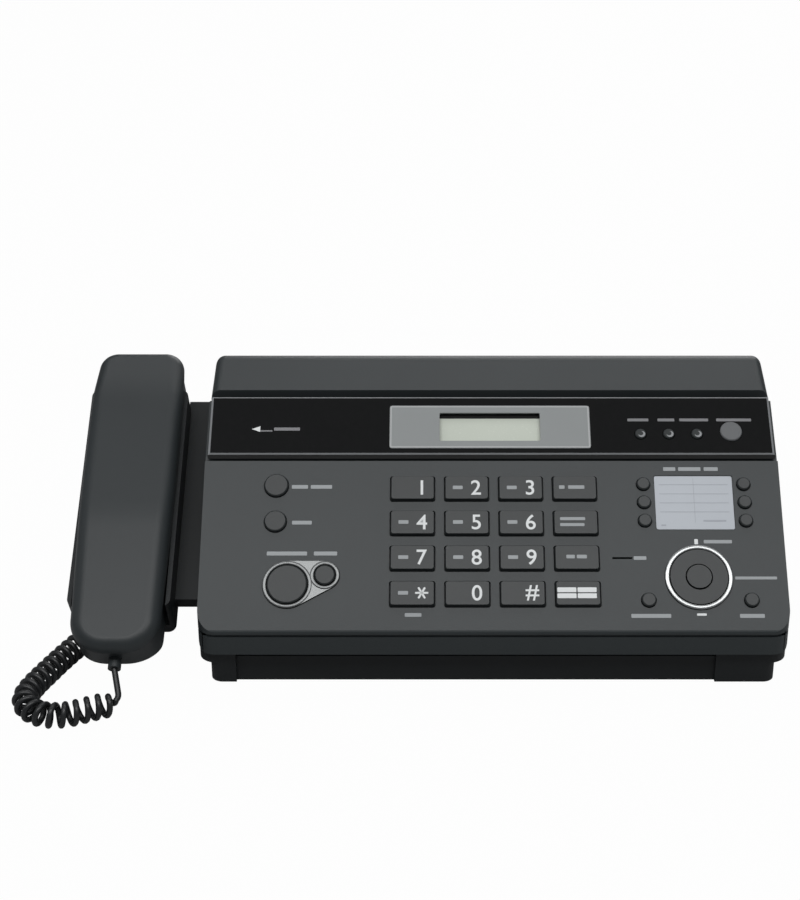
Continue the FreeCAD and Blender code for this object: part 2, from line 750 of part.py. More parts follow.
# Underside of the panel: the upper document guide, and the key boards above it
guide_side = WALL + SEAM
guide_end = PANEL_LENGTH - 2 * WALL
upper_guide = plate(
    PANEL,
    rectangle(CASE_LEFT + guide_side, UPPER_GUIDE_START, CASE_RIGHT - guide_side, guide_end),
    -GUIDE_DEPTH - GUIDE_THICKNESS,
    -GUIDE_DEPTH,
)
pads = [
    peg(PANEL, x, s, POST_RADIUS, -GUIDE_DEPTH - GUIDE_THICKNESS / 2, -BOARD_DEPTH - BOARD_THICKNESS)
    for x, s in BOARD_POSTS
]
nodes["panel_guide"] = fused(upper_guide, *pads)
key_board = plate(
    PANEL,
    rectangle(CASE_LEFT + 4 * WALL, 3 * WALL, CASE_RIGHT - 4 * WALL, PANEL_LENGTH - 3 * WALL),
    -BOARD_DEPTH - BOARD_THICKNESS,
    -BOARD_DEPTH,
)
band_board = plate(BAND, rectangle(*BAND_BOARD), -BOARD_DEPTH - BOARD_THICKNESS, -BOARD_DEPTH)
nodes["panel_board"] = Part.makeCompound([key_board, band_board])


def flanged_key(frame, body, x, s, width, length, seat):
    """A key body with a rectangular flange that holds it under a skin, and a stem over its switch."""
    flange_top = -seat - FLANGE_GAP
    flange_bottom = flange_top - FLANGE_THICKNESS
    stem_end = KEY_TRAVEL + DOME_GAP - BOARD_DEPTH
    return fused(
        body,
        plate(frame, around(x, s, width, length, FLANGE), flange_bottom, flange_top),
        peg(frame, x, s, STEM_RADIUS, stem_end, flange_bottom),
    )


def dial_key(x, s):
    """A rectangular key with drafted sides above the panel's face."""
    foot = around(x, s, DIAL_KEY_WIDTH, DIAL_KEY_LENGTH, 0, KEY_CORNER)
    low = outline(foot)
    high = outline(around(x, s, DIAL_KEY_WIDTH, DIAL_KEY_LENGTH, -KEY_TAPER, KEY_CORNER))
    high.translate(Vector(0, 0, KEY_RISE))
    cap = placed(Part.makeLoft([low, high], True, True), PANEL)
    body = cap.fuse(plate(PANEL, foot, -PANEL_SKIN - FLANGE_GAP, 0))
    return flanged_key(PANEL, body, x, s, DIAL_KEY_WIDTH, DIAL_KEY_LENGTH, PANEL_SKIN)


def round_key(frame, x, s, radius, rise, seat):
    """A round key with a bevelled rim."""
    bevel = min(ROUND_BEVEL, rise / 2)
    rim = Part.makeCone(radius, radius - bevel, bevel, Vector(x, s, rise - bevel))
    body = peg(frame, x, s, radius, -seat - FLANGE_GAP, rise - bevel).fuse(placed(rim, frame))
    return flanged_key(frame, body, x, s, 2 * radius, 2 * radius, seat)


for name, (x, s) in dial_keys.items():
    nodes[name] = dial_key(x, s)
for name, (x, s, radius) in round_keys.items():
    nodes[name] = round_key(PANEL, x, s, radius, ROUND_RISE, PANEL_SKIN)
for name, (x, s, radius) in band_keys.items():
    nodes[name] = round_key(BAND, x, s, radius, ROUND_RISE / 2, PANEL_UNDER)

# Navigator: a ring key that rocks, with the set key in its middle
navigator_outer = NAVIGATOR_RADIUS - NAVIGATOR_TRIM - KEY_CLEARANCE
navigator_hole = SET_RADIUS + 2 * KEY_CLEARANCE
rock_top = -PANEL_SKIN - ROCK_GAP
navigator = fused(
    peg(PANEL, CARD_X, NAVIGATOR_S, navigator_outer, rock_top, RING_RISE),
    peg(PANEL, CARD_X, NAVIGATOR_S, navigator_outer + FLANGE, rock_top - FLANGE_THICKNESS, rock_top),
)
nodes["key_navigator"] = navigator.cut(
    peg(PANEL, CARD_X, NAVIGATOR_S, navigator_hole, -THROUGH, RING_RISE + OVERCUT)
)
set_seat = PANEL_SKIN + 2 * ROCK_GAP + FLANGE_THICKNESS - FLANGE_GAP
nodes["key_set"] = fused(
    peg(PANEL, CARD_X, NAVIGATOR_S, SET_RADIUS, -set_seat, ROUND_RISE),
    peg(PANEL, CARD_X, NAVIGATOR_S, SET_RADIUS + FLANGE, -set_seat - FLANGE_THICKNESS / 2, -set_seat),
)

# Inner frame: side plates, lower document guide and paper well
guide_head = panel_point(GUIDE_END, LOWER_GUIDE_DEPTH)
guide_foot = panel_point(GUIDE_START, LOWER_GUIDE_DEPTH)
well_rim = ROLL_AT[1] + WELL_RIM_RISE
frame_rear = CASE_DEPTH - TIER_INSET - WALL - SEAM
bearing = SHAFT_RADIUS + BEARING_WALL
frame_side = [
    (FRONT_INNER + WALL, FLOOR),
    (frame_rear, FLOOR),
    (frame_rear, COVER_PIVOT[1]),
    (COVER_PIVOT[0] - EAR, COVER_PIVOT[1]),
    (COVER_PIVOT[0] - 3 * EAR, well_rim),
    (PLATEN_AT[0] + 2 * GEAR_MODULE * PINION_TEETH + bearing, well_rim),
    (PLATEN_AT[0] + bearing, PLATEN_AT[1] + bearing, bearing / 2),
    (PLATEN_AT[0] - bearing, PLATEN_AT[1] + bearing, bearing / 2),
    (PLATEN_AT[0] - bearing, PLATEN_AT[1] - bearing),
    panel_point(GUIDE_END, LOWER_GUIDE_DEPTH + GUIDE_THICKNESS),
    guide_head,
    guide_foot,
    panel_point(GUIDE_START, LOWER_GUIDE_DEPTH + GUIDE_THICKNESS),
]
frame_plates = []
for left, right in ((FRAME_LEFT, FRAME_INNER_LEFT), (FRAME_INNER_RIGHT, FRAME_RIGHT)):
    frame_plates.append(
        fused(
            profile(frame_side, left, right),
            bar(*PANEL_PIVOT, EAR, left, right),
            bar(*COVER_PIVOT, EAR, left, right),
        )
    )
lower_guide = plate(
    PANEL,
    rectangle(FRAME_LEFT, GUIDE_START, FRAME_RIGHT, GUIDE_END),
    -LOWER_GUIDE_DEPTH - GUIDE_THICKNESS,
    -LOWER_GUIDE_DEPTH,
)
well = bar(*ROLL_AT, WELL_RADIUS + WELL_WALL, FRAME_LEFT, FRAME_RIGHT)
well = well.cut(bar(*ROLL_AT, WELL_RADIUS, FRAME_LEFT, FRAME_RIGHT))
well = well.common(box(FRAME_LEFT, FRAME_RIGHT, 0, CASE_DEPTH, 0, well_rim))


def roller_slot(s, radius):
    """A window in the lower guide for a roller that stands a little proud."""
    half = math.sqrt(radius**2 - (radius - ROLLER_PROUD - GUIDE_THICKNESS) ** 2)
    return plate(
        PANEL,
        around(CASE_MIDDLE, s, ROLLER_LENGTH, 2 * half, SLOT_MARGIN),
        -LOWER_GUIDE_DEPTH - GUIDE_THICKNESS - OVERCUT,
        -LOWER_GUIDE_DEPTH + OVERCUT,
    )


def roller_axis(s, radius):
    return panel_point(s, LOWER_GUIDE_DEPTH + radius - ROLLER_PROUD)


FEED_AXIS = roller_axis(FEED_AT, FEED_RADIUS)
EJECT_AXIS = roller_axis(EJECT_AT, EJECT_RADIUS)
ROLL_AXIS = (ROLL_AT[0], ROLL_AT[1] - WELL_RADIUS + ROLL_RADIUS + ROLL_CLEARANCE)
GEAR_CENTRES = GEAR_MODULE * (PLATEN_TEETH + PINION_TEETH) / 2
mesh_turn = math.radians(MOTOR_TURN)
MOTOR_AXIS = (
    PLATEN_AT[0] + GEAR_CENTRES * math.cos(mesh_turn),
    PLATEN_AT[1] + GEAR_CENTRES * math.sin(mesh_turn),
)

sensor_window = plate(
    PANEL,
    around(CASE_MIDDLE, SENSOR_AT, FRAME_INNER_RIGHT - FRAME_INNER_LEFT, SENSOR_WIDTH + SEAM),
    -LOWER_GUIDE_DEPTH - GUIDE_THICKNESS - OVERCUT,
    -LOWER_GUIDE_DEPTH + OVERCUT,
)
frame_cuts = [roller_slot(FEED_AT, FEED_RADIUS), roller_slot(EJECT_AT, EJECT_RADIUS), sensor_window]
for axis, radius in (
    (PANEL_PIVOT, PIN_RADIUS),
    (COVER_PIVOT, PIN_RADIUS),
    (PLATEN_AT, SHAFT_RADIUS),
    (FEED_AXIS, SHAFT_RADIUS),
    (EJECT_AXIS, SHAFT_RADIUS),
):
    for left, right in ((FRAME_LEFT, FRAME_INNER_LEFT), (FRAME_INNER_RIGHT, FRAME_RIGHT)):
        frame_cuts.append(bar(*axis, radius + PIN_CLEARANCE, left, right))
nodes["inner_frame"] = fused(frame_plates[0], frame_plates[1], lower_guide, well).cut(frame_cuts)

# Rollers on steel shafts
SHAFT_LEFT = FRAME_LEFT - SHAFT_STAND_OUT
SHAFT_RIGHT = FRAME_RIGHT + SHAFT_STAND_OUT


def middle_bar(axis, radius, length):
    """A round bar along X, as far to the left of the case's middle as to the right."""
    return bar(*axis, radius, CASE_MIDDLE - length / 2, CASE_MIDDLE + length / 2)


def roller(axis, radius, length):
    return fused(middle_bar(axis, radius, length), bar(*axis, SHAFT_RADIUS, SHAFT_LEFT, SHAFT_RIGHT))


nodes["feed_roller"] = roller(FEED_AXIS, FEED_RADIUS, ROLLER_LENGTH)
nodes["eject_roller"] = roller(EJECT_AXIS, EJECT_RADIUS, ROLLER_LENGTH)


def gear(axis, teeth, turn, left, right):
    """An involute spur gear about an axis along X, thinned for backlash."""
    pitch = GEAR_MODULE * teeth / 2
    slant = math.radians(PRESSURE_ANGLE)
    base = pitch * math.cos(slant)
    tip = pitch + GEAR_MODULE
    root = pitch - DEDENDUM * GEAR_MODULE
    pressure = math.tan(slant) - slant
    half = math.pi / (2 * teeth) - GEAR_BACKLASH / (2 * pitch)

    def flank(radius):
        if radius <= base:
            return half + pressure
        roll = math.sqrt((radius / base) ** 2 - 1)
        return half + pressure - (roll - math.atan(roll))

    def at(radius, angle):
        return Vector(radius * math.cos(angle), radius * math.sin(angle), 0)

    start = max(base, root)
    steps = [start + (tip - start) * i / 3 for i in range(4)]
    edges = []
    for tooth in range(teeth):
        centre = 2 * math.pi * tooth / teeth + turn
        following = 2 * math.pi * (tooth + 1) / teeth + turn
        rise = [at(r, centre - flank(r)) for r in steps]
        fall = [at(r, centre + flank(r)) for r in reversed(steps)]
        foot = at(root, centre - flank(start))
        heel = at(root, centre + flank(start))
        next_foot = at(root, following - flank(start))
        valley = at(root, (centre + following) / 2)
        edges.append(Part.LineSegment(foot, rise[0]).toShape())
        edges.append(Part.Arc(rise[0], rise[2], rise[3]).toShape())
        edges.append(Part.Arc(rise[3], at(tip, centre), fall[0]).toShape())
        edges.append(Part.Arc(fall[0], fall[1], fall[3]).toShape())
        edges.append(Part.LineSegment(fall[3], heel).toShape())
        edges.append(Part.Arc(heel, valley, next_foot).toShape())
    face = Part.Face(Part.Wire(edges))
    blank = face.extrude(Vector(0, 0, right - left))
    return placed(blank, Placement(Vector(left, axis[0], axis[1]), SIDE.Rotation))


gear_left = FRAME_RIGHT + GEAR_GAP
gear_right = gear_left + GEAR_WIDTH
nodes["platen_roller"] = fused(
    middle_bar(PLATEN_AT, PLATEN_RADIUS, ROLL_WIDTH),
    bar(*PLATEN_AT, SHAFT_RADIUS, SHAFT_LEFT, gear_right),
    gear(PLATEN_AT, PLATEN_TEETH, mesh_turn, gear_left, gear_right),
)
pinion_turn = mesh_turn + math.pi + math.pi / PINION_TEETH
motor_face = gear_right + MOTOR_GAP
shaft_end = motor_face + MOTOR_LENGTH / 2
nodes["motor_pinion"] = fused(
    gear(MOTOR_AXIS, PINION_TEETH, pinion_turn, gear_left, gear_right),
    bar(*MOTOR_AXIS, MOTOR_SHAFT, gear_left, shaft_end),
)
motor = [bar(*MOTOR_AXIS, MOTOR_RADIUS, motor_face, motor_face + MOTOR_LENGTH)]
for turn in (MOTOR_TURN - MOTOR_LEG_SPREAD, MOTOR_TURN + MOTOR_LEG_SPREAD):
    leg_y = MOTOR_AXIS[0] + MOTOR_LEG_REACH * math.cos(math.radians(turn))
    leg_z = MOTOR_AXIS[1] + MOTOR_LEG_REACH * math.sin(math.radians(turn))
    motor.append(bar(leg_y, leg_z, MOTOR_LEG_RADIUS, FRAME_RIGHT, motor_face + WALL))
nodes["drive_motor"] = fused(*motor).cut(
    bar(*MOTOR_AXIS, MOTOR_SHAFT + PIN_CLEARANCE, motor_face, shaft_end + SEAM)
)

nodes["paper_roll"] = middle_bar(ROLL_AXIS, ROLL_RADIUS, ROLL_WIDTH).cut(
    middle_bar(ROLL_AXIS, CORE_RADIUS, ROLL_WIDTH)
)

head_top = PLATEN_AT[1] - PLATEN_RADIUS - HEAD_GAP
nodes["thermal_head"] = box(
    FRAME_INNER_LEFT,
    FRAME_INNER_RIGHT,
    PLATEN_AT[0] - HEAD_WIDTH / 2,
    PLATEN_AT[0] + HEAD_WIDTH / 2,
    head_top - HEAD_HEIGHT,
    head_top,
)
nodes["image_sensor"] = plate(
    PANEL,
    around(CASE_MIDDLE, SENSOR_AT, FRAME_INNER_RIGHT - FRAME_INNER_LEFT, SENSOR_WIDTH),
    -LOWER_GUIDE_DEPTH - SENSOR_HEIGHT,
    -LOWER_GUIDE_DEPTH - SENSOR_SINK,
)
board_low = FLOOR + MAIN_BOARD_RISE
nodes["main_board"] = box(
    BOARD_LEFT, BOARD_RIGHT, MAIN_BOARD_FRONT, MAIN_BOARD_BACK, board_low, board_low + BOARD_THICKNESS
)


# Top cover: a crowned shell with skirts, rounded about its hinge at the lower rear
def cover_solid(inset, left, right, low):
    """The cover's side view, two slopes that meet in a rounded crest, drawn across and drawn in by an inset."""
    front = COVER_START + inset
    rear = COVER_REAR - inset
    front_slope = (HEIGHT - COVER_FRONT_HEIGHT) / (CREST_AT - COVER_START)
    rear_slope = (HEIGHT - COVER_REAR_HEIGHT) / (COVER_REAR - CREST_AT)
    front_drop = inset * math.hypot(1, front_slope)
    rear_drop = inset * math.hypot(1, rear_slope)
    crest = CREST_AT + (front_drop - rear_drop) / (front_slope + rear_slope)

    def roof(y):
        return HEIGHT - rear_drop - rear_slope * (y - CREST_AT)

    side_view = [
        (front, HEIGHT - front_drop - front_slope * (CREST_AT - front)),
        (crest, roof(crest), CREST_ROUND - inset),
        (rear, roof(rear), COVER_SHOULDER - inset),
        (rear, low),
        (front, low),
    ]
    face = Part.Face(outline(side_view))
    face.translate(Vector(0, 0, left))
    return face.extrude(Vector(0, 0, right - left))


def side_edges(solid, left, right, low):
    """Edges round the cover's two side faces, without the bottom and front ones."""
    found = []
    for edge in solid.Edges:
        ends = [vertex.Point for vertex in edge.Vertexes]
        on_side = all(abs(point.z - left) < 1e-6 for point in ends) or all(
            abs(point.z - right) < 1e-6 for point in ends
        )
        at_front = all(abs(point.x - COVER_START) < 1e-6 for point in ends)
        at_bottom = all(abs(point.y - low) < 1e-6 for point in ends)
        if on_side and not at_front and not at_bottom:
            found.append(edge)
    return found


cover = cover_solid(0, CASE_LEFT, CASE_RIGHT, FLOOR)
cover = cover.makeFillet(COVER_SIDE_ROUND, side_edges(cover, CASE_LEFT, CASE_RIGHT, FLOOR))
side_start = COVER_START - OVERCUT
side_top = HEIGHT + OVERCUT
cover_side = profile(
    [
        (side_start, cover_seam(side_start)),
        (COVER_PIVOT[0], cover_seam(COVER_PIVOT[0])),
        COVER_PIVOT,
        (CASE_DEPTH, COVER_PIVOT[1]),
        (CASE_DEPTH, side_top),
        (side_start, side_top),
    ],
    CASE_LEFT,
    CASE_RIGHT,
).fuse(bar(*COVER_PIVOT, EAR, CASE_LEFT, CASE_RIGHT))
cover_outer = placed(cover, SIDE).common(cover_side)
cover_room = placed(cover_solid(WALL, CASE_LEFT + WALL, CASE_RIGHT - WALL, FLOOR), SIDE)
paper_exit = box(
    FRAME_LEFT, FRAME_RIGHT, side_start, COVER_START + 2 * WALL, FLOOR, COVER_FRONT_HEIGHT - COVER_LIP
)
cover_lugs = []
cover_cuts = [cover_room, paper_exit]
for lug, pin in ((LEFT_LUG, LEFT_PIN), (RIGHT_LUG, RIGHT_PIN)):
    web = box(*lug, COVER_PIVOT[0] - EAR, COVER_PIVOT[0] + EAR, COVER_PIVOT[1], HEIGHT)
    cover_lugs += [
        web.common(cover_outer),
        bar(*COVER_PIVOT, EAR, *lug).common(cover_outer),
        bar(*COVER_PIVOT, PIN_RADIUS, *pin),
    ]
    cover_cuts.append(bar(*COVER_PIVOT, EAR + LUG_GAP, pin[0] - LUG_GAP, pin[1] + LUG_GAP))
nodes["top_cover"] = fused(cover_outer.cut(cover_cuts), *cover_lugs)

# Handset cradle: an open-ended trough with a saddle, on a bridge from the case
cradle_plan = rectangle(CRADLE_LEFT, 0, CRADLE_RIGHT, CRADLE_LENGTH, CRADLE_CORNER)
trough = plate(
    CRADLE,
    around(CRADLE_MIDDLE, CRADLE_LENGTH / 2, CRADLE_WIDTH - 2 * CRADLE_WALL, CRADLE_LENGTH + 2 * OVERCUT),
    -CRADLE_FLOOR,
    OVERCUT,
)
cradle = plate(CRADLE, cradle_plan, -CRADLE_HEIGHT, 0).cut(trough)
saddle = plate(
    CRADLE,
    rectangle(CRADLE_LEFT + CRADLE_WALL / 2, SADDLE_START, CRADLE_RIGHT - CRADLE_WALL / 2, SADDLE_END),
    -CRADLE_FLOOR - CRADLE_WALL / 2,
    -SADDLE_DROP,
)
bridge = plate(
    CRADLE,
    rectangle(CRADLE_RIGHT - CRADLE_WALL / 2, BRIDGE_START, CASE_LEFT, BRIDGE_END),
    -BRIDGE_DROP - BRIDGE_THICKNESS,
    -BRIDGE_DROP,
)
well_floor = -CRADLE_FLOOR + HOOK_FLOOR
hook_well = peg(CRADLE, CRADLE_MIDDLE, HOOK_S, HOOK_RADIUS + PIN_CLEARANCE, well_floor, 0)
nodes["handset_cradle"] = fused(cradle, saddle, bridge).cut(hook_well)
hook_top = -GRIP_DEPTH - HOOK_GAP
nodes["hook_plunger"] = peg(
    CRADLE, CRADLE_MIDDLE, HOOK_S, HOOK_RADIUS, well_floor + HOOK_FLOOR_GAP, hook_top
)

# Handset: a crowned back shell over an inner shell with two cups
half_width = HANDSET_WIDTH / 2


def handset_plan(inset):
    """Plan of the handset: widest in the middle, drawn in towards the mouth."""
    tip = half_width * TIP_SHARE - inset
    heel = half_width * HEEL_SHARE - inset
    side = half_width - inset
    right = [
        (tip, HANDSET_TIP + inset, TIP_CORNER - inset),
        (side, WAIST_START, WAIST_ROUND),
        (side, WAIST_END, SHOULDER_ROUND),
        (heel, HANDSET_BACK - inset, HEEL_CORNER - inset),
    ]
    left = [(-x, s, r) for x, s, r in reversed(right)]
    return [(CRADLE_MIDDLE + x, s, r) for x, s, r in right + left]


def handset_side(points):
    """A side view outline in the cradle's frame, drawn across the handset."""
    solid = Part.Face(outline(points)).extrude(Vector(0, 0, HANDSET_WIDTH + 2 * OVERCUT))
    solid = placed(solid, Placement(Vector(CRADLE_MIDDLE - half_width - OVERCUT, 0, 0), SIDE.Rotation))
    return placed(solid, CRADLE)


def edge_on_side(edge, frame, inset):
    """True for an edge that runs round the plan's outline, not across the back."""
    middle = edge.valueAt((edge.FirstParameter + edge.LastParameter) / 2)
    point = frame.multVec(middle)
    wall = outline(handset_plan(inset))
    return wall.distToShape(Part.Vertex(point.x, point.y, 0))[0] < 1e-3


def crowned(inset, low):
    """The handset's back from a level upwards: its plan under an arched side view, with rolled edges."""
    crown = HANDSET_CROWN - inset
    arch = [
        (HANDSET_TIP - OVERCUT, low - OVERCUT),
        (HANDSET_BACK + OVERCUT, low - OVERCUT),
        (HANDSET_BACK + OVERCUT, crown - HEEL_FALL),
        (ARCH_END, crown, ARCH_ROUND),
        (ARCH_START, crown, ARCH_ROUND),
        (HANDSET_TIP - OVERCUT, crown - TIP_FALL),
    ]
    block = plate(CRADLE, handset_plan(inset), low, crown + OVERCUT).common(handset_side(arch))
    frame = CRADLE.inverse()
    rolled = []
    for edge in block.Edges:
        above = all(frame.multVec(vertex.Point).z > low + OVERCUT for vertex in edge.Vertexes)
        if above and edge_on_side(edge, frame, inset):
            rolled.append(edge)
    return block.makeFillet(EDGE_ROLL - inset, rolled)


cups = [
    (HANDSET_TIP - OVERCUT, -CUP_DEPTH + CUP_LIFT),
    (HANDSET_TIP + MOUTH_CUP, -CUP_DEPTH, CUP_ROUND),
    (SADDLE_START - CUP_MARGIN - CUP_SLOPE, -CUP_DEPTH, CUP_EDGE),
    (SADDLE_START - CUP_MARGIN, -GRIP_DEPTH, CUP_EDGE),
    (SADDLE_END + CUP_MARGIN, -GRIP_DEPTH, CUP_EDGE),
    (SADDLE_END + CUP_MARGIN + CUP_SLOPE, -CUP_DEPTH, CUP_EDGE),
    (HANDSET_BACK - EAR_CUP, -CUP_DEPTH, CUP_ROUND),
    (HANDSET_BACK + OVERCUT, -CUP_DEPTH + CUP_LIFT),
    (HANDSET_BACK + OVERCUT, HANDSET_CROWN),
    (HANDSET_TIP - OVERCUT, HANDSET_CROWN),
]
inner_inset = half_width - (CRADLE_WIDTH / 2 - CRADLE_WALL - HANDSET_SIDE_GAP)
gland_foot = Vector(CRADLE_MIDDLE, HANDSET_TIP - GLAND_LENGTH, GLAND_LEVEL)
gland = placed(
    Part.makeCylinder(GLAND_RADIUS, GLAND_LENGTH + GLAND_ROOT, gland_foot, Vector(0, 1, 0)), CRADLE
)
back_room = plate(
    CRADLE, handset_plan(HANDSET_WALL), HANDSET_SPLIT - OVERCUT, HANDSET_CROWN - TIP_FALL - HANDSET_WALL
)
nodes["handset_back"] = crowned(0, HANDSET_SPLIT).cut(back_room)
inner_shell = plate(CRADLE, handset_plan(inner_inset), -CUP_DEPTH - OVERCUT, HANDSET_SPLIT)
nodes["handset_front"] = fused(inner_shell.common(handset_side(cups)), gland)

# Handset cord: one wire, straight at both ends and curled between them
CORD_Z = CURL_RADIUS + WIRE_RADIUS + CORD_FLOOR_GAP
gland_end = CRADLE.multVec(gland_foot - Vector(0, CORD_END_GAP, 0))
gland_run = CRADLE.multVec(gland_foot - Vector(0, CORD_END_RUN, 0))
CORD_ROUTE = [
    Vector(CASE_LEFT - SOCKET_LENGTH, SOCKET_Y, SOCKET_Z),
    Vector(CASE_LEFT - SOCKET_LENGTH - CORD_END_RUN, SOCKET_Y, SOCKET_Z),
    Vector(-140, 69, 15),
    Vector(-150, 64, CORD_Z),
    Vector(-161, 57, CORD_Z),
    Vector(-171, 46, CORD_Z),
    Vector(-180, 28, CORD_Z),
    Vector(-187.6, 9, CORD_Z),
    Vector(-196.5, -16, CORD_Z),
    Vector(-193.8, -26.9, CORD_Z),
    Vector(-185.2, -34.1, CORD_Z),
    Vector(-173.9, -34.7, CORD_Z),
    Vector(-164.8, -28.6, CORD_Z),
    Vector(-156.0, -21.8, CORD_Z),
    gland_run,
    gland_end,
]
CURL_FROM = 4
CURL_TO = 13


def straight(start, stop):
    """A straight piece of a path: its length, and its place and heading at a distance."""
    length = start.distanceToPoint(stop)
    heading = (stop - start) * (1 / length)
    return length, lambda distance: (start + heading * distance, heading)


def bend(centre, start, heading, radius, turn):
    """An arc of a path, given in the same way."""
    out = (start - centre) * (1 / radius)

    def at(distance):
        angle = distance / radius
        place = centre + (out * math.cos(angle) + heading * math.sin(angle)) * radius
        return place, heading * math.cos(angle) - out * math.sin(angle)

    return radius * turn, at


def rounded_route(points):
    """Straight pieces and tangent arcs of a path through points, and the arcs' radii."""
    pieces = []
    radii = []
    at = points[0]
    for before, here, after in zip(points, points[1:], points[2:]):
        back = (before - here).normalize()
        ahead = (after - here).normalize()
        turn = math.pi - back.getAngle(ahead)
        reach = ARC_SHARE * min(here.distanceToPoint(before), here.distanceToPoint(after))
        radius = reach / math.tan(turn / 2)
        radii.append(radius)
        start = here + back * reach
        inward = (back + ahead).normalize()
        centre = here + inward * (radius / math.cos(turn / 2))
        pieces.append(straight(at, start))
        pieces.append(bend(centre, start, back * -1, radius, turn))
        at = here + ahead * reach
    pieces.append(straight(at, points[-1]))
    return pieces, radii


route, route_radii = rounded_route(CORD_ROUTE)
route_length = sum(length for length, at in route)


def along_route(distance):
    """Place and heading at a distance along the route."""
    for length, at in route:
        if distance <= length:
            return at(max(distance, 0))
        distance -= length
    return route[-1][1](route[-1][0])


def distance_to(corner):
    """Distance along the route to the middle of the bend at one of its points."""
    bends = 2 * corner - 1
    return sum(length for length, at in route[:bends]) + route[bends][0] / 2


curl_start = distance_to(CURL_FROM)
curl_end = distance_to(CURL_TO)
curl_count = round((curl_end - curl_start) / CURL_PITCH)


def wire_at(distance):
    """Centre of the wire: the route, plus a circle about it where the cord is curled."""
    place, heading = along_route(distance)
    share = (distance - curl_start) / (curl_end - curl_start)
    if share <= 0 or share >= 1:
        return place
    ramp = min(1.0, share * curl_count, (1 - share) * curl_count)
    swell = CURL_RADIUS * ramp * ramp * (3 - 2 * ramp)
    across = heading.cross(Vector(0, 0, 1)).normalize()
    over = across.cross(heading)
    angle = 2 * math.pi * curl_count * share
    return place + (across * math.cos(angle) + over * math.sin(angle)) * swell


def heading_at(distance):
    step = 0.01
    return (wire_at(min(distance + step, route_length)) - wire_at(max(distance - step, 0))).normalize()


def arc_from(start, heading, stop):
    chord = stop - start
    length = chord.Length
    chord.normalize()
    angle = heading.getAngle(chord)
    if angle < 1e-4:
        return Part.LineSegment(start, stop).toShape()
    middle = start + (heading + chord).normalize() * (length / 2 / math.cos(angle / 2))
    return Part.Arc(start, middle, stop).toShape()


def biarc(start, start_heading, stop, stop_heading):
    """Two tangent arcs between two places with given headings."""
    gap = stop - start
    both = start_heading + stop_heading
    bend_share = 2 * (1 - start_heading.dot(stop_heading))
    if bend_share < 1e-9:
        reach = gap.dot(gap) / (2 * gap.dot(both))
    else:
        reach = (math.sqrt(gap.dot(both) ** 2 + bend_share * gap.dot(gap)) - gap.dot(both)) / bend_share
    joint = (start + stop + (start_heading - stop_heading) * reach) * 0.5
    joint_heading = ((stop - stop_heading * reach) - (start + start_heading * reach)).normalize()
    return [arc_from(start, start_heading, joint), arc_from(joint, joint_heading, stop)]


def divided(start, stop, count):
    """Distances that divide a stretch of the route evenly, without its start."""
    return [start + (stop - start) * i / count for i in range(1, count + 1)]


lead_start = 4 * WIRE_RADIUS
tail_end = route_length - 2 * WIRE_RADIUS
stations = [0.0, lead_start]
stations += divided(lead_start, curl_start, LEAD_STEPS)
stations += divided(curl_start, curl_end, CURL_STEPS * curl_count)
stations += divided(curl_end, tail_end, TAIL_STEPS)
stations.append(route_length)
path = []
for start, stop in zip(stations, stations[1:]):
    path += biarc(wire_at(start), heading_at(start), wire_at(stop), heading_at(stop))
path = Part.Wire(path)
section = Part.Wire(Part.makeCircle(WIRE_RADIUS, wire_at(0), heading_at(0)))
nodes["handset_cord"] = path.makePipeShell([section], True, False)

samples = [wire_at(distance) for distance in divided(curl_start, curl_end, GAP_STEPS * curl_count)]
spacing = min(
    here.distanceToPoint(there)
    for i, here in enumerate(samples)
    for there in samples[i + GAP_STEPS // 2 :]
)
tube_volume = math.pi * WIRE_RADIUS**2 * path.Length
print("cord: curls %d, wire %.0f mm" % (curl_count, path.Length))
print("cord: least gap %.2f mm" % (spacing - 2 * WIRE_RADIUS))
print("cord: volume over section times length %.4f" % (nodes["handset_cord"].Volume / tube_volume))
print("cord: route radii", [round(radius) for radius in route_radii])

# Origin: under the middle of the machine, on the table; the cord doesn't count
body_box = Part.makeCompound([solid for name, solid in nodes.items() if name != "handset_cord"]).BoundBox
ORIGIN = Vector(-body_box.Center.x, -body_box.Center.y, 0)
for solid in nodes.values():
    solid.translate(ORIGIN)
print("origin moved by", ORIGIN, "size", body_box.XLength, body_box.YLength, body_box.ZLength)
for name, solid in nodes.items():
    print(name, solid.isValid(), len(solid.Solids), round(solid.Volume))

os.makedirs("parts", exist_ok=True)
for name, solid in nodes.items():
    solid.exportStep("parts/%s.step" % name)
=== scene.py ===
import math

import bpy
import numpy as np
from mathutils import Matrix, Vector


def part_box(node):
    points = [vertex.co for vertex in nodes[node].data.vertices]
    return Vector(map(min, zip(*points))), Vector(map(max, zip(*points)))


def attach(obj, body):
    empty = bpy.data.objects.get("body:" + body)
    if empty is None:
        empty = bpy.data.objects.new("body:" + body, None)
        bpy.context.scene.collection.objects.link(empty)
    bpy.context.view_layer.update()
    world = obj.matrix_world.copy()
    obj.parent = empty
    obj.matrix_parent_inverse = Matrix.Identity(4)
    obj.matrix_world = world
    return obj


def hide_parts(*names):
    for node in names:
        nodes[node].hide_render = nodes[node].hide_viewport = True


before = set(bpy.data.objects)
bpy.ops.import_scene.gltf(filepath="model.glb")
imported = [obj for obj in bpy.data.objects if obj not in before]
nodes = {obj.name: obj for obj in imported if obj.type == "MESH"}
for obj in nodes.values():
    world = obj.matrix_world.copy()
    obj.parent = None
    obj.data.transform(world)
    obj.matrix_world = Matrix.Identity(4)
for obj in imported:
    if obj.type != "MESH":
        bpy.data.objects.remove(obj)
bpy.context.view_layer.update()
scene = bpy.context.scene
scene.view_settings.view_transform = "Standard"

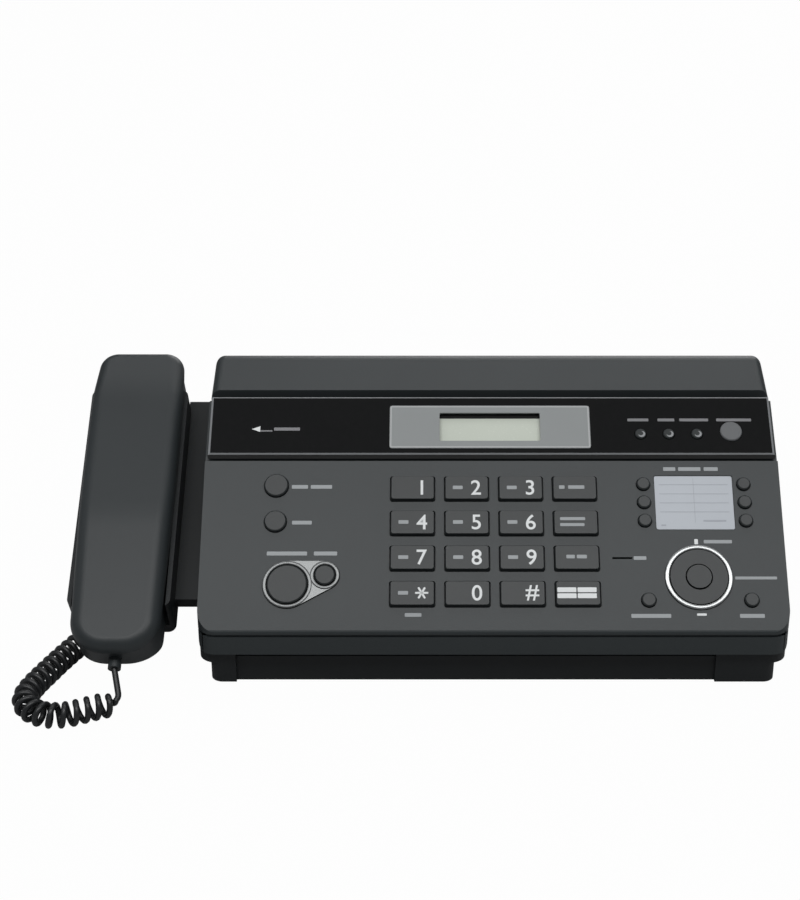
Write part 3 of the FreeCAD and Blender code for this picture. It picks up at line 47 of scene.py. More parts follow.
# Studio. A desk machine on a white sweep, seen from just left of its middle.
# Broad soft lamps hang above it, before the keys and behind the cover; weaker ones
# stand behind it and on the left.
CASE_DEPTH = 0.228
lip_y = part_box("lower_cabinet")[1].y - CASE_DEPTH

camera_data = bpy.data.cameras.new("camera")
camera_data.sensor_fit = "HORIZONTAL"
camera_data.sensor_width = 36.0
camera_data.lens = 81.0
camera_data.shift_x = -0.03875
camera = bpy.data.objects.new("camera", camera_data)
camera.location = (0.0017, lip_y - 0.7613, 0.4858)
camera.rotation_euler = (math.radians(65.0), 0.0, 0.0)
scene.collection.objects.link(camera)
scene.camera = camera


def soft_light(name, place, turn, size, power):
    """A rectangular lamp with a broad face, turned by degrees about X, Y and Z."""
    lamp = bpy.data.lights.new(name, "AREA")
    lamp.shape = "RECTANGLE"
    lamp.size, lamp.size_y = size
    lamp.energy = power
    holder = bpy.data.objects.new(name, lamp)
    holder.location = place
    holder.rotation_euler = [math.radians(angle) for angle in turn]
    scene.collection.objects.link(holder)


soft_light("key_lamp", (0.0, -0.80, 1.70), (23.0, 0.0, 0.0), (2.4, 0.6), 22.0)
soft_light("rear_lamp", (0.0, 0.66, 1.49), (-22.0, 0.0, 0.0), (2.4, 0.5), 6.5)
soft_light("back_lamp", (0.5, 2.0, 1.0), (-64.0, 0.0, 0.0), (1.6, 1.0), 14.0)
soft_light("left_lamp", (-1.7, -0.1, 0.9), (0.0, -62.0, 0.0), (1.0, 1.2), 1.0)

world = bpy.data.worlds.new("studio")
world.use_nodes = True
room = world.node_tree.nodes["Background"]
room.inputs["Color"].default_value = (0.93, 0.96, 1.0, 1.0)
room.inputs["Strength"].default_value = 0.2
scene.world = world


def grid_faces(rows, columns, closed_rows=False, closed_columns=False):
    """Quads of a grid of points, row by row; a closed direction joins its last line to its first."""
    row = np.arange(rows if closed_rows else rows - 1)[:, None]
    column = np.arange(columns if closed_columns else columns - 1)[None, :]
    next_row = (row + 1) % rows
    next_column = (column + 1) % columns
    corners = [
        row * columns + column,
        row * columns + next_column,
        next_row * columns + next_column,
        next_row * columns + column,
    ]
    return np.stack(corners, -1).reshape(-1, 4)


def surface(name, points, faces, smooth=True):
    """A mesh object from an array of points and rows of corner numbers, at the origin."""
    mesh = bpy.data.meshes.new(name)
    mesh.from_pydata(np.asarray(points).reshape(-1, 3).tolist(), [], [list(face) for face in faces])
    mesh.polygons.foreach_set("use_smooth", np.full(len(mesh.polygons), smooth))
    mesh.update()
    piece = bpy.data.objects.new(name, mesh)
    scene.collection.objects.link(piece)
    return piece


def sweep(name, width, front, back, height, radius):
    """Floor and wall in one sheet: level from front to back, then a quarter round, then upright."""
    angle = np.linspace(0.0, math.pi / 2, 24)
    y = np.concatenate([[front], back + radius * np.sin(angle), [back + radius]])
    z = np.concatenate([[0.0], radius * (1 - np.cos(angle)), [height]])
    x = np.array([-width, width])[:, None] + 0 * y
    points = np.stack([x, np.broadcast_to(y, x.shape), np.broadcast_to(z, x.shape)], -1)
    return surface(name, points, grid_faces(2, len(y))[:, ::-1])


def sweep_white():
    """White to the camera, also through glass, with a trace of shadow; dim grey card to all other rays."""
    material = bpy.data.materials.new("sweep_white")
    material.use_nodes = True
    add = material.node_tree.nodes.new
    link = material.node_tree.links.new
    card = material.node_tree.nodes["Principled BSDF"]
    card.inputs["Base Color"].default_value = (0.40, 0.40, 0.40, 1.0)
    card.inputs["Roughness"].default_value = 0.9
    plain = add("ShaderNodeEmission")
    rays = add("ShaderNodeLightPath")
    seen = add("ShaderNodeMath")
    seen.operation = "MAXIMUM"
    link(rays.outputs["Is Camera Ray"], seen.inputs[0])
    link(rays.outputs["Is Transmission Ray"], seen.inputs[1])
    share = add("ShaderNodeMath")
    share.operation = "MULTIPLY"
    share.inputs[1].default_value = 0.98
    link(seen.outputs["Value"], share.inputs[0])
    both = add("ShaderNodeMixShader")
    link(share.outputs["Value"], both.inputs["Fac"])
    link(card.outputs["BSDF"], both.inputs[1])
    link(plain.outputs["Emission"], both.inputs[2])
    link(both.outputs["Shader"], material.node_tree.nodes["Material Output"].inputs["Surface"])
    return material


floor = sweep("floor", 6.0, -4.0, 3.0, 4.0, 1.2)
floor.data.materials.append(sweep_white())

# Handset cord. One thin wire in a soft black jacket, moulded into a coil, that
# runs from a socket under the cradle to the mouth end of the handset.
WIRE_RADIUS = 0.0015
CURL_RADIUS = 0.005
CURL_COUNT = 26
ROUTE = np.array(
    [
        (-117.5, 70.0, 24.0),
        (-127.5, 70.0, 24.0),
        (-140.0, 69.0, 15.0),
        (-150.0, 64.0, 6.7),
        (-161.0, 57.0, 6.7),
        (-171.0, 46.0, 6.7),
        (-180.0, 28.0, 6.7),
        (-187.6, 9.0, 6.7),
        (-196.5, -16.0, 6.7),
        (-193.8, -26.9, 6.7),
        (-185.2, -34.1, 6.7),
        (-173.9, -34.7, 6.7),
        (-161.5, -28.2, 6.7),
        (-149.2, -22.6, 6.7),
        (-151.2, -15.6, 12.2),
        (-153.0, -9.6, 17.3),
    ]
) / 1000 + (0.0, lip_y, 0.0)
CURL_FROM = ROUTE[4]
CURL_TO = ROUTE[13]


def drawn(curve):
    """Points and faces of a curve as it is drawn; the curve itself is removed."""
    holder = bpy.data.objects.new(curve.name, curve)
    scene.collection.objects.link(holder)
    bpy.context.view_layer.update()
    mesh = bpy.data.meshes.new_from_object(holder.evaluated_get(bpy.context.evaluated_depsgraph_get()))
    points = np.empty(len(mesh.vertices) * 3)
    mesh.vertices.foreach_get("co", points)
    faces = [list(polygon.vertices) for polygon in mesh.polygons]
    bpy.data.objects.remove(holder)
    bpy.data.curves.remove(curve)
    bpy.data.meshes.remove(mesh)
    return points.reshape(-1, 3), faces


def nurbs_line(points, order):
    """Points along a NURBS line with the given control points, ends included."""
    curve = bpy.data.curves.new("route", "CURVE")
    curve.dimensions = "3D"
    curve.resolution_u = 48
    spline = curve.splines.new("NURBS")
    spline.points.add(len(points) - 1)
    spline.points.foreach_set("co", np.c_[points, np.ones(len(points))].ravel())
    spline.order_u = order
    spline.use_endpoint_u = True
    line, faces = drawn(curve)
    return line


def along(line):
    """Distance from the start to each point of a line."""
    return np.concatenate([[0.0], np.cumsum(np.linalg.norm(np.diff(line, axis=0), axis=1))])


def spaced(line, count):
    """The same line as evenly spaced points."""
    run = along(line)
    even = np.linspace(0.0, run[-1], count)
    return np.stack([np.interp(even, run, line[:, axis]) for axis in range(3)], -1)


def unit(vectors):
    return vectors / np.linalg.norm(vectors, axis=-1, keepdims=True)


def curled(line, start, stop, count, radius):
    """The line plus a circle about it between two of its points, with the circle growing over one turn."""
    run = along(line)
    begin = run[np.argmin(np.linalg.norm(line - start, axis=1))]
    end = run[np.argmin(np.linalg.norm(line - stop, axis=1))]
    share = np.clip((run - begin) / (end - begin), 0.0, 1.0)
    ramp = np.clip(np.minimum(share, 1 - share) * count, 0.0, 1.0)
    swell = radius * ramp**2 * (3 - 2 * ramp)
    heading = unit(np.gradient(line, axis=0))
    across = unit(np.cross(heading, (0.0, 0.0, 1.0)))
    over = np.cross(across, heading)
    angle = 2 * math.pi * count * share[:, None]
    return line + swell[:, None] * (across * np.cos(angle) + over * np.sin(angle))


wire = curled(spaced(nurbs_line(ROUTE, 3), 1100), CURL_FROM, CURL_TO, CURL_COUNT, CURL_RADIUS)
cord_curve = bpy.data.curves.new("curly_cord", "CURVE")
cord_curve.dimensions = "3D"
cord_curve.bevel_depth = WIRE_RADIUS
cord_curve.bevel_resolution = 3
wire_spline = cord_curve.splines.new("POLY")
wire_spline.points.add(len(wire) - 1)
wire_spline.points.foreach_set("co", np.c_[wire, np.ones(len(wire))].ravel())
wire_spline.use_smooth = True
cord = bpy.data.objects.new("curly_cord", cord_curve)
scene.collection.objects.link(cord)


def moulded_skin():
    """Node group for moulded plastic: a fine spark grain, slow tone drift and rubbed specks."""
    group = bpy.data.node_groups.new("moulded_skin", "ShaderNodeTree")
    socket = group.interface.new_socket
    socket("Color", in_out="INPUT", socket_type="NodeSocketColor")
    socket("Roughness", in_out="INPUT", socket_type="NodeSocketFloat")
    socket("Grain Scale", in_out="INPUT", socket_type="NodeSocketFloat")
    socket("Grain Depth", in_out="INPUT", socket_type="NodeSocketFloat")
    socket("Color", in_out="OUTPUT", socket_type="NodeSocketColor")
    socket("Roughness", in_out="OUTPUT", socket_type="NodeSocketFloat")
    socket("Normal", in_out="OUTPUT", socket_type="NodeSocketVector")
    add = group.nodes.new
    link = group.links.new
    given = add("NodeGroupInput")
    result = add("NodeGroupOutput")
    place = add("ShaderNodeTexCoord")
    grain = add("ShaderNodeTexNoise")
    grain.inputs["Detail"].default_value = 3.0
    link(place.outputs["Object"], grain.inputs["Vector"])
    link(given.outputs["Grain Scale"], grain.inputs["Scale"])
    drift = add("ShaderNodeTexNoise")
    drift.inputs["Scale"].default_value = 14.0
    drift.inputs["Detail"].default_value = 4.0
    link(place.outputs["Object"], drift.inputs["Vector"])
    tone = add("ShaderNodeMapRange")
    tone.inputs["To Min"].default_value = 0.88
    tone.inputs["To Max"].default_value = 1.12
    link(drift.outputs["Fac"], tone.inputs["Value"])
    shade = add("ShaderNodeVectorMath")
    shade.operation = "SCALE"
    link(given.outputs["Color"], shade.inputs[0])
    link(tone.outputs["Result"], shade.inputs["Scale"])
    link(shade.outputs["Vector"], result.inputs["Color"])
    dull = add("ShaderNodeMath")
    dull.operation = "MULTIPLY_ADD"
    dull.inputs[1].default_value = 0.16
    spread = add("ShaderNodeMath")
    spread.operation = "SUBTRACT"
    spread.inputs[1].default_value = 0.5
    link(grain.outputs["Fac"], spread.inputs[0])
    link(spread.outputs["Value"], dull.inputs[0])
    link(given.outputs["Roughness"], dull.inputs[2])
    link(dull.outputs["Value"], result.inputs["Roughness"])
    bump = add("ShaderNodeBump")
    bump.inputs["Distance"].default_value = 0.0001
    link(grain.outputs["Fac"], bump.inputs["Height"])
    link(given.outputs["Grain Depth"], bump.inputs["Strength"])
    link(bump.outputs["Normal"], result.inputs["Normal"])
    return group


skin_group = moulded_skin()


def moulded(name, colour, roughness, grain_scale=2600.0, grain_depth=0.35, gloss=0.5, metallic=0.0):
    """Plastic, rubber, paper or metal with the shared skin; a textured one has less gloss."""
    material = bpy.data.materials.new(name)
    material.use_nodes = True
    shader = material.node_tree.nodes["Principled BSDF"]
    skin = material.node_tree.nodes.new("ShaderNodeGroup")
    skin.node_tree = skin_group
    skin.inputs["Color"].default_value = (*colour, 1.0)
    skin.inputs["Roughness"].default_value = roughness
    skin.inputs["Grain Scale"].default_value = grain_scale
    skin.inputs["Grain Depth"].default_value = grain_depth
    link = material.node_tree.links.new
    link(skin.outputs["Color"], shader.inputs["Base Color"])
    link(skin.outputs["Roughness"], shader.inputs["Roughness"])
    link(skin.outputs["Normal"], shader.inputs["Normal"])
    shader.inputs["Metallic"].default_value = metallic
    shader.inputs["Specular IOR Level"].default_value = gloss
    return material


def finish_nodes(material, *names):
    """Gives carried-over solids their material."""
    for name in names:
        nodes[name].data.materials.clear()
        nodes[name].data.materials.append(material)


cord_curve.materials.append(moulded("cord_jacket", (0.012, 0.013, 0.014), 0.38, 1800.0, 0.15))
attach(cord, "base")
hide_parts("handset_cord")
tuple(wire[0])

# Lower cabinet. A tub of charcoal ABS with a spark-eroded grain, on four rubber
# feet; self-tapping screws with crossed slots hold it from below.
BASE_LEVEL = 0.002
SCREW_RADIUS = 0.0032
SCREW_HEIGHT = 0.0011
SCREW_RINGS = 28
SCREW_SPOKES = 72
SLOT_HALF = 0.00045
SLOT_REACH = 0.0019
SCREWS = np.array([(-95.0, 40.0), (160.0, 40.0), (-95.0, 190.0), (160.0, 190.0)]) / 1000


def screw_head(x, y, level):
    """A low dome hanging from a level: drop = height (1 - share^4), with a sunk cross at its middle."""
    share = np.linspace(0.0, 1.0, SCREW_RINGS)[:, None]
    angle = np.linspace(0.0, 2 * math.pi, SCREW_SPOKES, endpoint=False)[None, :]
    across = SCREW_RADIUS * share * np.cos(angle)
    up = SCREW_RADIUS * share * np.sin(angle)
    near = np.minimum(abs(across), abs(up))
    far = np.maximum(abs(across), abs(up))
    in_cross = (near < SLOT_HALF) & (far < SLOT_REACH)
    drop = SCREW_HEIGHT * (1 - share**4) * np.where(in_cross, 0.35, 1.0)
    points = np.stack([x + across, y + up, level - drop], -1)
    return points.reshape(-1, 3), grid_faces(SCREW_RINGS, SCREW_SPOKES, closed_columns=True)


def merged(parts):
    """Several lots of points and faces as one."""
    starts = np.cumsum([0] + [len(points) for points, faces in parts])
    faces = [[start + corner for corner in face] for start, part in zip(starts, parts) for face in part[1]]
    return np.concatenate([points for points, faces in parts]), faces


case_plastic = moulded("charcoal_case", (0.014, 0.016, 0.017), 0.48, gloss=0.28)
finish_nodes(case_plastic, "lower_cabinet", "handset_cradle")
finish_nodes(moulded("foot_rubber", (0.015, 0.015, 0.015), 0.75, 900.0, 0.5), "rubber_feet")
steel = moulded("plated_steel", (0.45, 0.45, 0.45), 0.35, 1500.0, 0.1, metallic=1.0)
screws = surface("case_screws", *merged([screw_head(x, lip_y + y, BASE_LEVEL) for x, y in SCREWS]))
screws.data.materials.append(steel)
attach(screws, "base")

# Inside. A black frame carries ground rubber rollers, a white geared drive, the
# print head and the thermal paper roll; the boards are green laminate.
finish_nodes(
    moulded("inner_black", (0.018, 0.018, 0.019), 0.55),
    "inner_frame", "image_sensor", "panel_guide", "hook_plunger",
)
finish_nodes(moulded("board_green", (0.02, 0.11, 0.05), 0.4, 700.0, 0.3), "main_board", "panel_board")
finish_nodes(steel, "thermal_head", "drive_motor")
finish_nodes(
    moulded("roller_rubber", (0.03, 0.03, 0.03), 0.7, 1200.0, 0.4),
    "feed_roller", "eject_roller", "platen_roller",
)
finish_nodes(moulded("gear_nylon", (0.62, 0.61, 0.56), 0.5, 900.0, 0.2), "motor_pinion")
finish_nodes(moulded("thermal_paper", (0.78, 0.78, 0.76), 0.6, 300.0, 0.1), "paper_roll")

# Top cover and handset. The same ABS in a smoother finish, so that a broad
# soft sheen runs along their crowned backs.
CRADLE_FOOT = (0.0118, 0.0403)
CRADLE_SLOPE = 32.0
HANDSET_MIDDLE = -0.153
CUP_LEVEL = -0.020
GRILLE_HOLE = 0.0007
GRILLE_PITCH = 0.0034
EAR_MIDDLE = 0.121
MOUTH_MIDDLE = 0.008
INK = 0.00006


smooth_plastic = moulded("charcoal_smooth", (0.026, 0.031, 0.033), 0.42, gloss=0.4)
finish_nodes(smooth_plastic, "top_cover", "handset_back", "handset_front")


def sloped(foot_y, foot_z, slope):
    """Places points on a sloping face: x across, s up the slope from its foot, h off the face."""
    lean = math.radians(slope)

    def place(x, s, h):
        x, s, h = np.broadcast_arrays(x, s, h)
        y = foot_y + s * math.cos(lean) - h * math.sin(lean)
        z = foot_z + s * math.sin(lean) + h * math.cos(lean)
        return np.stack([x, y, z], -1)

    return place


def inked(outlines, place, low, high):
    """Closed flat pads: each outline, counter-clockwise, carried from low to high off a face."""
    parts = []
    for ring in outlines:
        lower = np.arange(len(ring))
        upper = lower + len(ring)
        sides = np.stack([lower, np.roll(lower, -1), np.roll(upper, -1), upper], -1)
        points = np.concatenate([place(*ring.T, low), place(*ring.T, high)])
        parts.append((points, [upper.tolist(), lower[::-1].tolist()] + sides.tolist()))
    return merged(parts)


def disc(x, s, radius, count=16):
    """A circle of points about (x, s)."""
    angle = np.linspace(0.0, 2 * math.pi, count, endpoint=False)
    return np.stack([x + radius * np.cos(angle), s + radius * np.sin(angle)], -1)


def grille(s, rings):
    """Discs in rings of six, twelve and so on about a middle one."""
    holes = [disc(HANDSET_MIDDLE, s, GRILLE_HOLE)]
    for ring in range(1, rings + 1):
        for x, y in disc(HANDSET_MIDDLE, s, ring * GRILLE_PITCH, 6 * ring):
            holes.append(disc(x, y, GRILLE_HOLE))
    return holes


on_cradle = sloped(lip_y + CRADLE_FOOT[0], CRADLE_FOOT[1], CRADLE_SLOPE)
# Matt black for painted shade. The grille holes are flat black discs, not cut, standing for the dark inside
# of each hole; the strip under the display band and the strip at the top of the display window use it too.
painted_shade_black = moulded("painted_shade_black", (0.004, 0.004, 0.004), 0.9, 900.0, 0.1)
grille_hole_shade = surface(
    "handset_grille_shade",
    *inked(grille(EAR_MIDDLE, 3) + grille(MOUTH_MIDDLE, 1), on_cradle, CUP_LEVEL - INK, CUP_LEVEL + INK),
    smooth=False,
)
grille_hole_shade.data.materials.append(painted_shade_black)
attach(grille_hole_shade, "handset")

# Operation panel. Satin charcoal ABS with pale pad-printed marks beside its keys;
# the marks are plain bars.
PANEL_SLOPE = 41.6
LIP_HEIGHT = 0.0325
MARK_RADIUS = 0.0004
on_panel = sloped(lip_y, LIP_HEIGHT, PANEL_SLOPE)
finish_nodes(moulded("panel_plastic", (0.029, 0.035, 0.037), 0.42, gloss=0.36), "operation_panel")


def bar(x, s, width, length, radius=MARK_RADIUS):
    """A rectangle about its middle, each corner a quarter circle of five points."""
    turn = np.linspace(0.0, math.pi / 2, 5) + math.pi / 2 * np.arange(4)[:, None]
    corner = np.array([(1, 1), (-1, 1), (-1, -1), (1, -1)]) * (np.array([width, length]) / 2 - radius)
    ring = corner[:, None, :] + radius * np.stack([np.cos(turn), np.sin(turn)], -1)
    return ring.reshape(-1, 2) + (x, s)


def bars(rows):
    """Bars from rows of left, right, middle height and thickness in millimetres."""
    left, right, s, thickness = np.array(rows).T / 1000
    return [bar(*row) for row in zip((left + right) / 2, s, right - left, thickness)]


pale_ink = moulded("pale_ink", (0.34, 0.36, 0.37), 0.5, 3000.0, 0.1)
white_ink = moulded("white_ink", (0.78, 0.80, 0.80), 0.5, 3000.0, 0.1)
PANEL_MARKS = [
    (-68.8, -60.6, 76.7, 2.0),
    (-59.2, -48.4, 76.7, 2.0),
    (-68.1, -58.2, 57.3, 2.0),
    (-80.2, -60.1, 40.8, 2.1),
    (-56.7, -45.1, 40.8, 2.1),
    (119.8, 126.0, 86.5, 2.0),
    (127.4, 138.8, 86.5, 2.0),
    (140.4, 147.6, 86.5, 2.0),
    (138.1, 152.2, 47.1, 1.8),
    (102.7, 109.0, 38.4, 1.9),
    (152.5, 173.3, 27.9, 1.5),
    (100.2, 119.8, 8.2, 2.0),
    (153.6, 165.8, 8.2, 2.0),
    (-11.2, -3.0, 8.7, 1.9),
]
BRIGHT_MARKS = [(133.4, 135.2, 47.1, 2.8), (132.5, 137.3, 8.9, 1.2)]


def print_or_shade(name, body, outlines, place, level, ink):
    """A print of the given outlines on a face at a level, riding on a body; it also lays the strips of
    painted shade.
    """
    piece = surface(name, *inked(outlines, place, level - INK, level + INK), smooth=False)
    piece.data.materials.append(ink)
    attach(piece, body)
    return piece


print_or_shade("panel_marks", "panel", bars(PANEL_MARKS), on_panel, 0.0, pale_ink)
print_or_shade("panel_bright_marks", "panel", bars(BRIGHT_MARKS), on_panel, 0.0, white_ink)

# Keys. Caps of the same satin ABS, a shade darker, in clear gaps. The dial keys
# carry printed digits right of their middle and a small bar on the left.
KEY_RISE = 0.0022
DIAL_FIRST = (-0.0076, 0.0755)
DIAL_PITCH = (0.0273, 0.0187)
DIGIT_SIZE = 0.0112
DIGIT_SHIFT = 0.0047
DIGIT_SWELL = 0.0001
STAR_SPOKE = (0.0066, 0.0010)
SIDE_BAR = (-0.0045, 0.0050, 0.0019)
key_plastic = moulded("key_plastic", (0.021, 0.025, 0.026), 0.40, 2600.0, 0.2, gloss=0.38)
key_names = [name for name in nodes if name.startswith("key_") and name != "key_rings"]
finish_nodes(key_plastic, *key_names)


def numeral(text, x, s, level):
    """A digit's outline from the built-in letter shapes, drawn to a thin pad about a place on the panel."""
    curve = bpy.data.curves.new("numeral", "FONT")
    curve.body = text
    curve.size = DIGIT_SIZE
    curve.extrude = INK
    curve.offset = DIGIT_SWELL
    points, faces = drawn(curve)
    points -= (points.min(axis=0) + points.max(axis=0)) / 2
    return on_panel(x + points[:, 0], s + points[:, 1], level + points[:, 2]), faces


def star(x, s, level):
    """Three crossed bars about a place on the panel."""
    spokes = []
    for turn in np.radians((0.0, 60.0, 120.0)):
        spoke = bar(0.0, 0.0, *STAR_SPOKE)
        across = spoke[:, 0] * math.cos(turn) - spoke[:, 1] * math.sin(turn)
        up = spoke[:, 0] * math.sin(turn) + spoke[:, 1] * math.cos(turn)
        spokes.append(np.stack([x + across, s + up], -1))
    return inked(spokes, on_panel, level - INK, level + INK)


for row, texts in enumerate(("123", "456", "789", "*0#")):
    for column, text in enumerate(texts):
        name = {"*": "key_star", "#": "key_hash"}.get(text, "key_" + text)
        x = DIAL_FIRST[0] + column * DIAL_PITCH[0]
        s = DIAL_FIRST[1] - row * DIAL_PITCH[1]
        make = star if text == "*" else lambda *place: numeral(text, *place)
        digit = surface("digit_" + name, *make(x + DIGIT_SHIFT, s, KEY_RISE), smooth=False)
        digit.data.materials.append(white_ink)
        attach(digit, name)
        if text not in "10#":
            side_bar = bar(x + SIDE_BAR[0], s, *SIDE_BAR[1:])
            print_or_shade("side_bar_" + name, name, [side_bar], on_panel, KEY_RISE, pale_ink)

FUNCTION_MARKS = {
    "key_function_1": [(66.4, 69.2, 75.7, 1.9), (71.0, 79.2, 75.7, 1.9)],
    "key_function_2": [(66.4, 79.0, 58.6, 1.6), (66.4, 78.6, 55.4, 1.6)],
    "key_function_3": [(69.0, 73.2, 38.4, 1.9), (74.2, 79.2, 38.4, 1.9)],
}
for name, rows in FUNCTION_MARKS.items():
    print_or_shade("marks_" + name, name, bars(rows), on_panel, KEY_RISE, pale_ink)
LABEL = [
    (64.0, 73.4, 21.0, 2.5),
    (74.0, 83.4, 21.0, 2.5),
    (64.0, 73.4, 17.9, 2.5),
    (74.0, 83.4, 17.9, 2.5),
]
print_or_shade("label_key_function_4", "key_function_4", bars(LABEL), on_panel, KEY_RISE, white_ink)

# Display band. A gloss black strip with a bright bevelled rim; the silver plate
# and the liquid crystal window sit in its middle.
BAND_SLOPE = 34.7
BAND_START = 0.0944
BAND_LEFT = -0.1123
BAND_RIGHT = 0.1773
BAND_TOP = 0.0351
BEVEL = 0.0011
band_foot = on_panel(0.0, BAND_START, 0.0)
on_band = sloped(band_foot[1], band_foot[2], BAND_SLOPE)
finish_nodes(moulded("band_gloss", (0.004, 0.004, 0.004), 0.10, 400.0, 0.02), "display_band")


def framed(name, left, low, right, high, section, place):
    """A section of (inset, height) points carried round a rectangle's four corners."""
    inset, height = np.array(section).T[:, :, None]
    x = np.where([True, False, False, True], left + inset, right - inset)
    s = np.where([True, True, False, False], low + inset, high - inset)
    points = place(x, s, np.broadcast_to(height, x.shape))
    return surface(name, points, grid_faces(len(section), 4, True, True), smooth=False)


PROUD = 0.00006
rim_section = [
    (0.0, -BEVEL),
    (-PROUD, -BEVEL + PROUD),
    (BEVEL - PROUD, 2 * PROUD),
    (BEVEL, 0.0),
]
rim = framed("band_rim", BAND_LEFT, 0.0, BAND_RIGHT, BAND_TOP, rim_section, on_band)
rim_silver = moulded("rim_silver", (0.30, 0.31, 0.32), 0.35, 3000.0, 0.05)
rim.data.materials.append(rim_silver)
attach(rim, "panel")
# The black strip along the foot of the band is painted shade: it stands for the shadow gap under the band's
# overhang.
SEAM_SHADE = 0.0022
seam_shade_strip = bar((BAND_LEFT + BAND_RIGHT) / 2, BAND_START - SEAM_SHADE / 2, BAND_RIGHT - BAND_LEFT, SEAM_SHADE)
print_or_shade("band_seam_shade", "panel", [seam_shade_strip], on_panel, 0.0, painted_shade_black)

BAND_MARKS = [
    (-86.2, -79.8, 14.2, 0.8),
    (-79.1, -65.7, 15.3, 1.8),
    (103.1, 113.9, 20.8, 1.7),
    (118.6, 127.3, 20.8, 1.7),
    (129.9, 144.8, 20.8, 1.7),
    (148.9, 167.0, 20.8, 1.7),
]
band_ink = moulded("band_ink", (0.20, 0.20, 0.21), 0.5, 3000.0, 0.1)
print_or_shade("band_marks", "panel", bars(BAND_MARKS), on_band, 0.0, band_ink)
arrow = np.array([(-90.6, 15.3), (-86.2, 13.6), (-86.2, 17.0)]) / 1000
print_or_shade("band_arrow", "panel", [arrow], on_band, 0.0, white_ink)

BAND_KEYS = {"key_record": 0.1094, "key_erase": 0.1239, "key_playback": 0.1384}
BAND_KEY_S = 0.0123
BAND_KEY_RISE = 0.0009
CRESCENT_INNER = 0.0013
CRESCENT_DEEP = 0.0011
CRESCENT_ENDS = (-150.0, 70.0)
CRESCENT_STEPS = 24


def crescent(x, s):
    """Round a circle from lower left to upper right; its depth grows and falls as half a sine wave."""
    turn = np.radians(np.linspace(*CRESCENT_ENDS, CRESCENT_STEPS))
    depth = CRESCENT_DEEP * np.sin(np.linspace(0.0, math.pi, CRESCENT_STEPS)) + PROUD
    ray = np.stack([np.cos(turn), np.sin(turn)], -1)
    outer = (CRESCENT_INNER + depth[:, None]) * ray
    return np.concatenate([outer, CRESCENT_INNER * ray[::-1]]) + (x, s)


for name, x in BAND_KEYS.items():
    print_or_shade("crescent_" + name, name, [crescent(x, BAND_KEY_S)], on_band, BAND_KEY_RISE, rim_silver)
finish_nodes(moulded("answer_grey", (0.13, 0.135, 0.14), 0.4), "key_auto_answer")

DISPLAY = (0.0320, 0.0165)
PLATE_SIZE = (0.1032, 0.0255)
PLATE_RISE = 0.0004
WINDOW_SIZE = (0.0518, 0.0168)
GLASS_LEVEL = -0.0022
WINDOW_SHADE = 0.0020
EDGE_SECTION = [
    (0.0003, PLATE_RISE - INK),
    (0.0004, PLATE_RISE + INK),
    (0.0010, PLATE_RISE + INK),
    (0.0011, PLATE_RISE - INK),
]
silver_paint = moulded("silver_paint", (0.27, 0.285, 0.285), 0.45, 3000.0, 0.1)
finish_nodes(silver_paint, "display_plate")
plate_edge = framed(
    "plate_edge",
    DISPLAY[0] - PLATE_SIZE[0] / 2,
    DISPLAY[1] - PLATE_SIZE[1] / 2,
    DISPLAY[0] + PLATE_SIZE[0] / 2,
    DISPLAY[1] + PLATE_SIZE[1] / 2,
    EDGE_SECTION,
    on_band,
)
plate_edge.data.materials.append(moulded("edge_silver", (0.46, 0.47, 0.47), 0.4, 3000.0, 0.05))
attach(plate_edge, "panel")
finish_nodes(moulded("crystal_window", (0.62, 0.66, 0.58), 0.25, 900.0, 0.0), "lcd_module")
# The black strip across the top of the window, at the level of the glass, is painted shade: it stands for
# the shadow that the window's upper wall casts into the recess.
window_shade_strip = bar(DISPLAY[0], DISPLAY[1] + WINDOW_SIZE[1] / 2 - WINDOW_SHADE / 2, WINDOW_SIZE[0], WINDOW_SHADE)
print_or_shade("display_window_shade", "panel", [window_shade_strip], on_band, GLASS_LEVEL, painted_shade_black)

# Directory card. A pale card in a shallow bed, ruled with fine grey lines.
CARD = (0.1346, 0.0682)
CARD_LEVEL = -0.0002
finish_nodes(moulded("card_paper", (0.53, 0.56, 0.60), 0.7, 500.0, 0.3), "directory_card")
CARD_RULES = [
    (0.0, 0.0098, 0.0350, 0.0003, 0.0001),
    (0.0, 0.0048, 0.0350, 0.0003, 0.0001),
    (0.0, -0.0001, 0.0350, 0.0003, 0.0001),
    (0.0, -0.0050, 0.0350, 0.0003, 0.0001),
    (0.0, 0.0012, 0.0002, 0.0240, 0.0001),
    (0.0098, -0.0098, 0.0115, 0.0009, 0.0002),
    (-0.0160, -0.0122, 0.0024, 0.0008, 0.0002),
]
rules = [bar(CARD[0] + across, CARD[1] + up, *form) for across, up, *form in CARD_RULES]
card_grey = moulded("card_grey", (0.40, 0.42, 0.46), 0.7, 900.0, 0.1)
print_or_shade("card_rules", "panel", rules, on_panel, CARD_LEVEL, card_grey)

# Bright rings. Plated plastic with a rounded back, pressed into a groove round the
# navigator, and round the start and copy keys with a web between the two.
RING_SINK = -0.0006
RING_RISE = 0.0012
START = (-0.0696, 0.0243, 0.01035, 0.0123)
COPY = (-0.0510, 0.0291, 0.00545, 0.0074)
NAVIGATOR = (0.1346, 0.0282, 0.0146, 0.0169)
RING_STEPS = 128
BACK_STEPS = 17
WEB_STEPS = 24


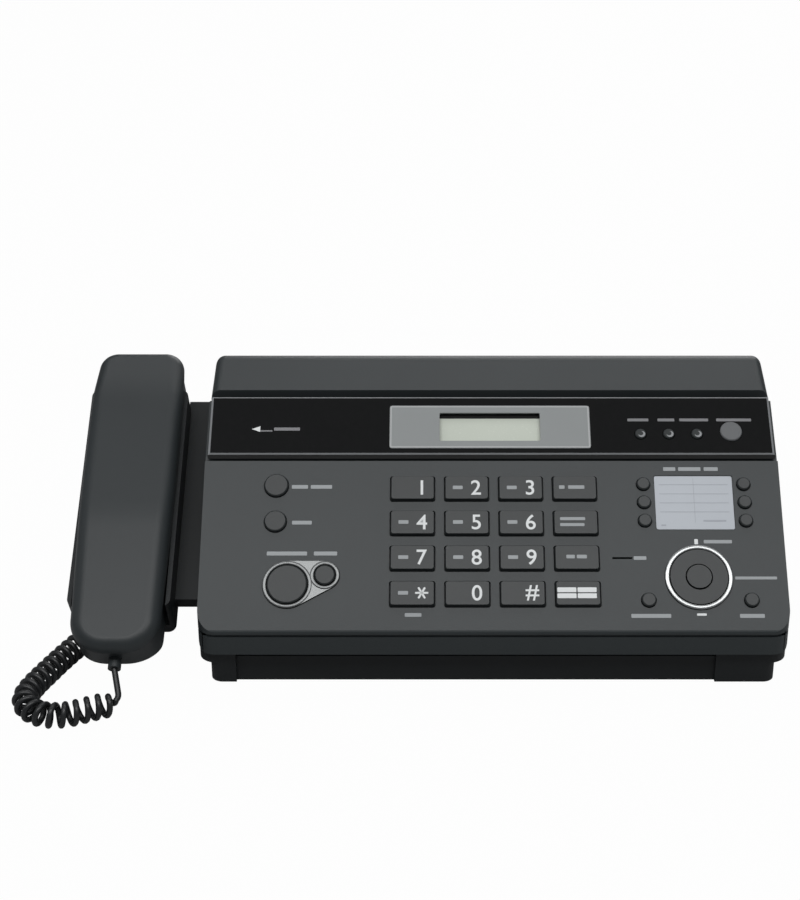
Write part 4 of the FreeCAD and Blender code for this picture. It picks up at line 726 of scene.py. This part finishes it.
def bead(x, s, inner, outer):
    """A ring about (x, s): a half-round section from inner to outer radius, carried round the circle."""
    lift = np.linspace(0.0, math.pi, BACK_STEPS)
    reach = (inner + outer) / 2 + (outer - inner) / 2 * np.cos(lift)
    rise = RING_RISE / 2 + RING_RISE / 2 * np.sin(lift) ** 0.7
    reach = np.concatenate([[outer], reach, [inner]])
    rise = np.concatenate([[RING_SINK], rise, [RING_SINK]])
    turn = np.linspace(0.0, 2 * math.pi, RING_STEPS, endpoint=False)[:, None]
    points = on_panel(x + reach * np.cos(turn), s + reach * np.sin(turn), rise + 0 * turn)
    return points.reshape(-1, 3), grid_faces(RING_STEPS, len(reach), True, True)


def web(start, copy):
    """The bridge between two rings: straight from one circle to the other, out to their common tangents."""
    gap = np.array(copy[:2]) - start[:2]
    apart = np.linalg.norm(gap)
    axis = gap / apart
    side = np.array([-axis[1], axis[0]])
    tangent = math.acos((start[3] - copy[3]) / apart)
    share = np.linspace(-1.0, 1.0, WEB_STEPS + 1)
    share = np.concatenate([share, share[::-1]])[:, None]
    height = np.repeat([RING_SINK, 0.8 * RING_RISE], WEB_STEPS + 1)
    ends = []
    for place, spread, way in ((start, tangent, 1.0), (copy, math.pi - tangent, -1.0)):
        angle = spread * share
        ends.append(place[:2] + place[3] * (way * np.cos(angle) * axis + np.sin(angle) * side))
    points = np.concatenate([on_panel(*end.T, height) for end in ends])
    count = len(share)
    step = np.arange(WEB_STEPS)
    wall = np.stack([step, step + 1, count - 2 - step, count - 1 - step], -1)
    sides = grid_faces(2, count, closed_columns=True)[:, ::-1]
    return points, np.concatenate([sides, wall, count + wall[:, ::-1]])


rings = surface("bright_rings", *merged([bead(*START), bead(*COPY), bead(*NAVIGATOR)]))
bridge = surface("ring_bridge", *web(START, COPY), smooth=False)
plated = moulded("plated_ring", (0.17, 0.175, 0.175), 0.38, 3000.0, 0.05, metallic=1.0)
rings.data.materials.append(plated)
rings.data.materials.append(moulded("bright_plate", (0.36, 0.37, 0.37), 0.30, 3000.0, 0.05, metallic=1.0))
rings.data.polygons.foreach_set("material_index", np.repeat([0, 0, 1], len(rings.data.polygons) // 3))
bridge.data.materials.append(plated)
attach(bridge, "panel")
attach(rings, "panel")
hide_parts("key_rings")
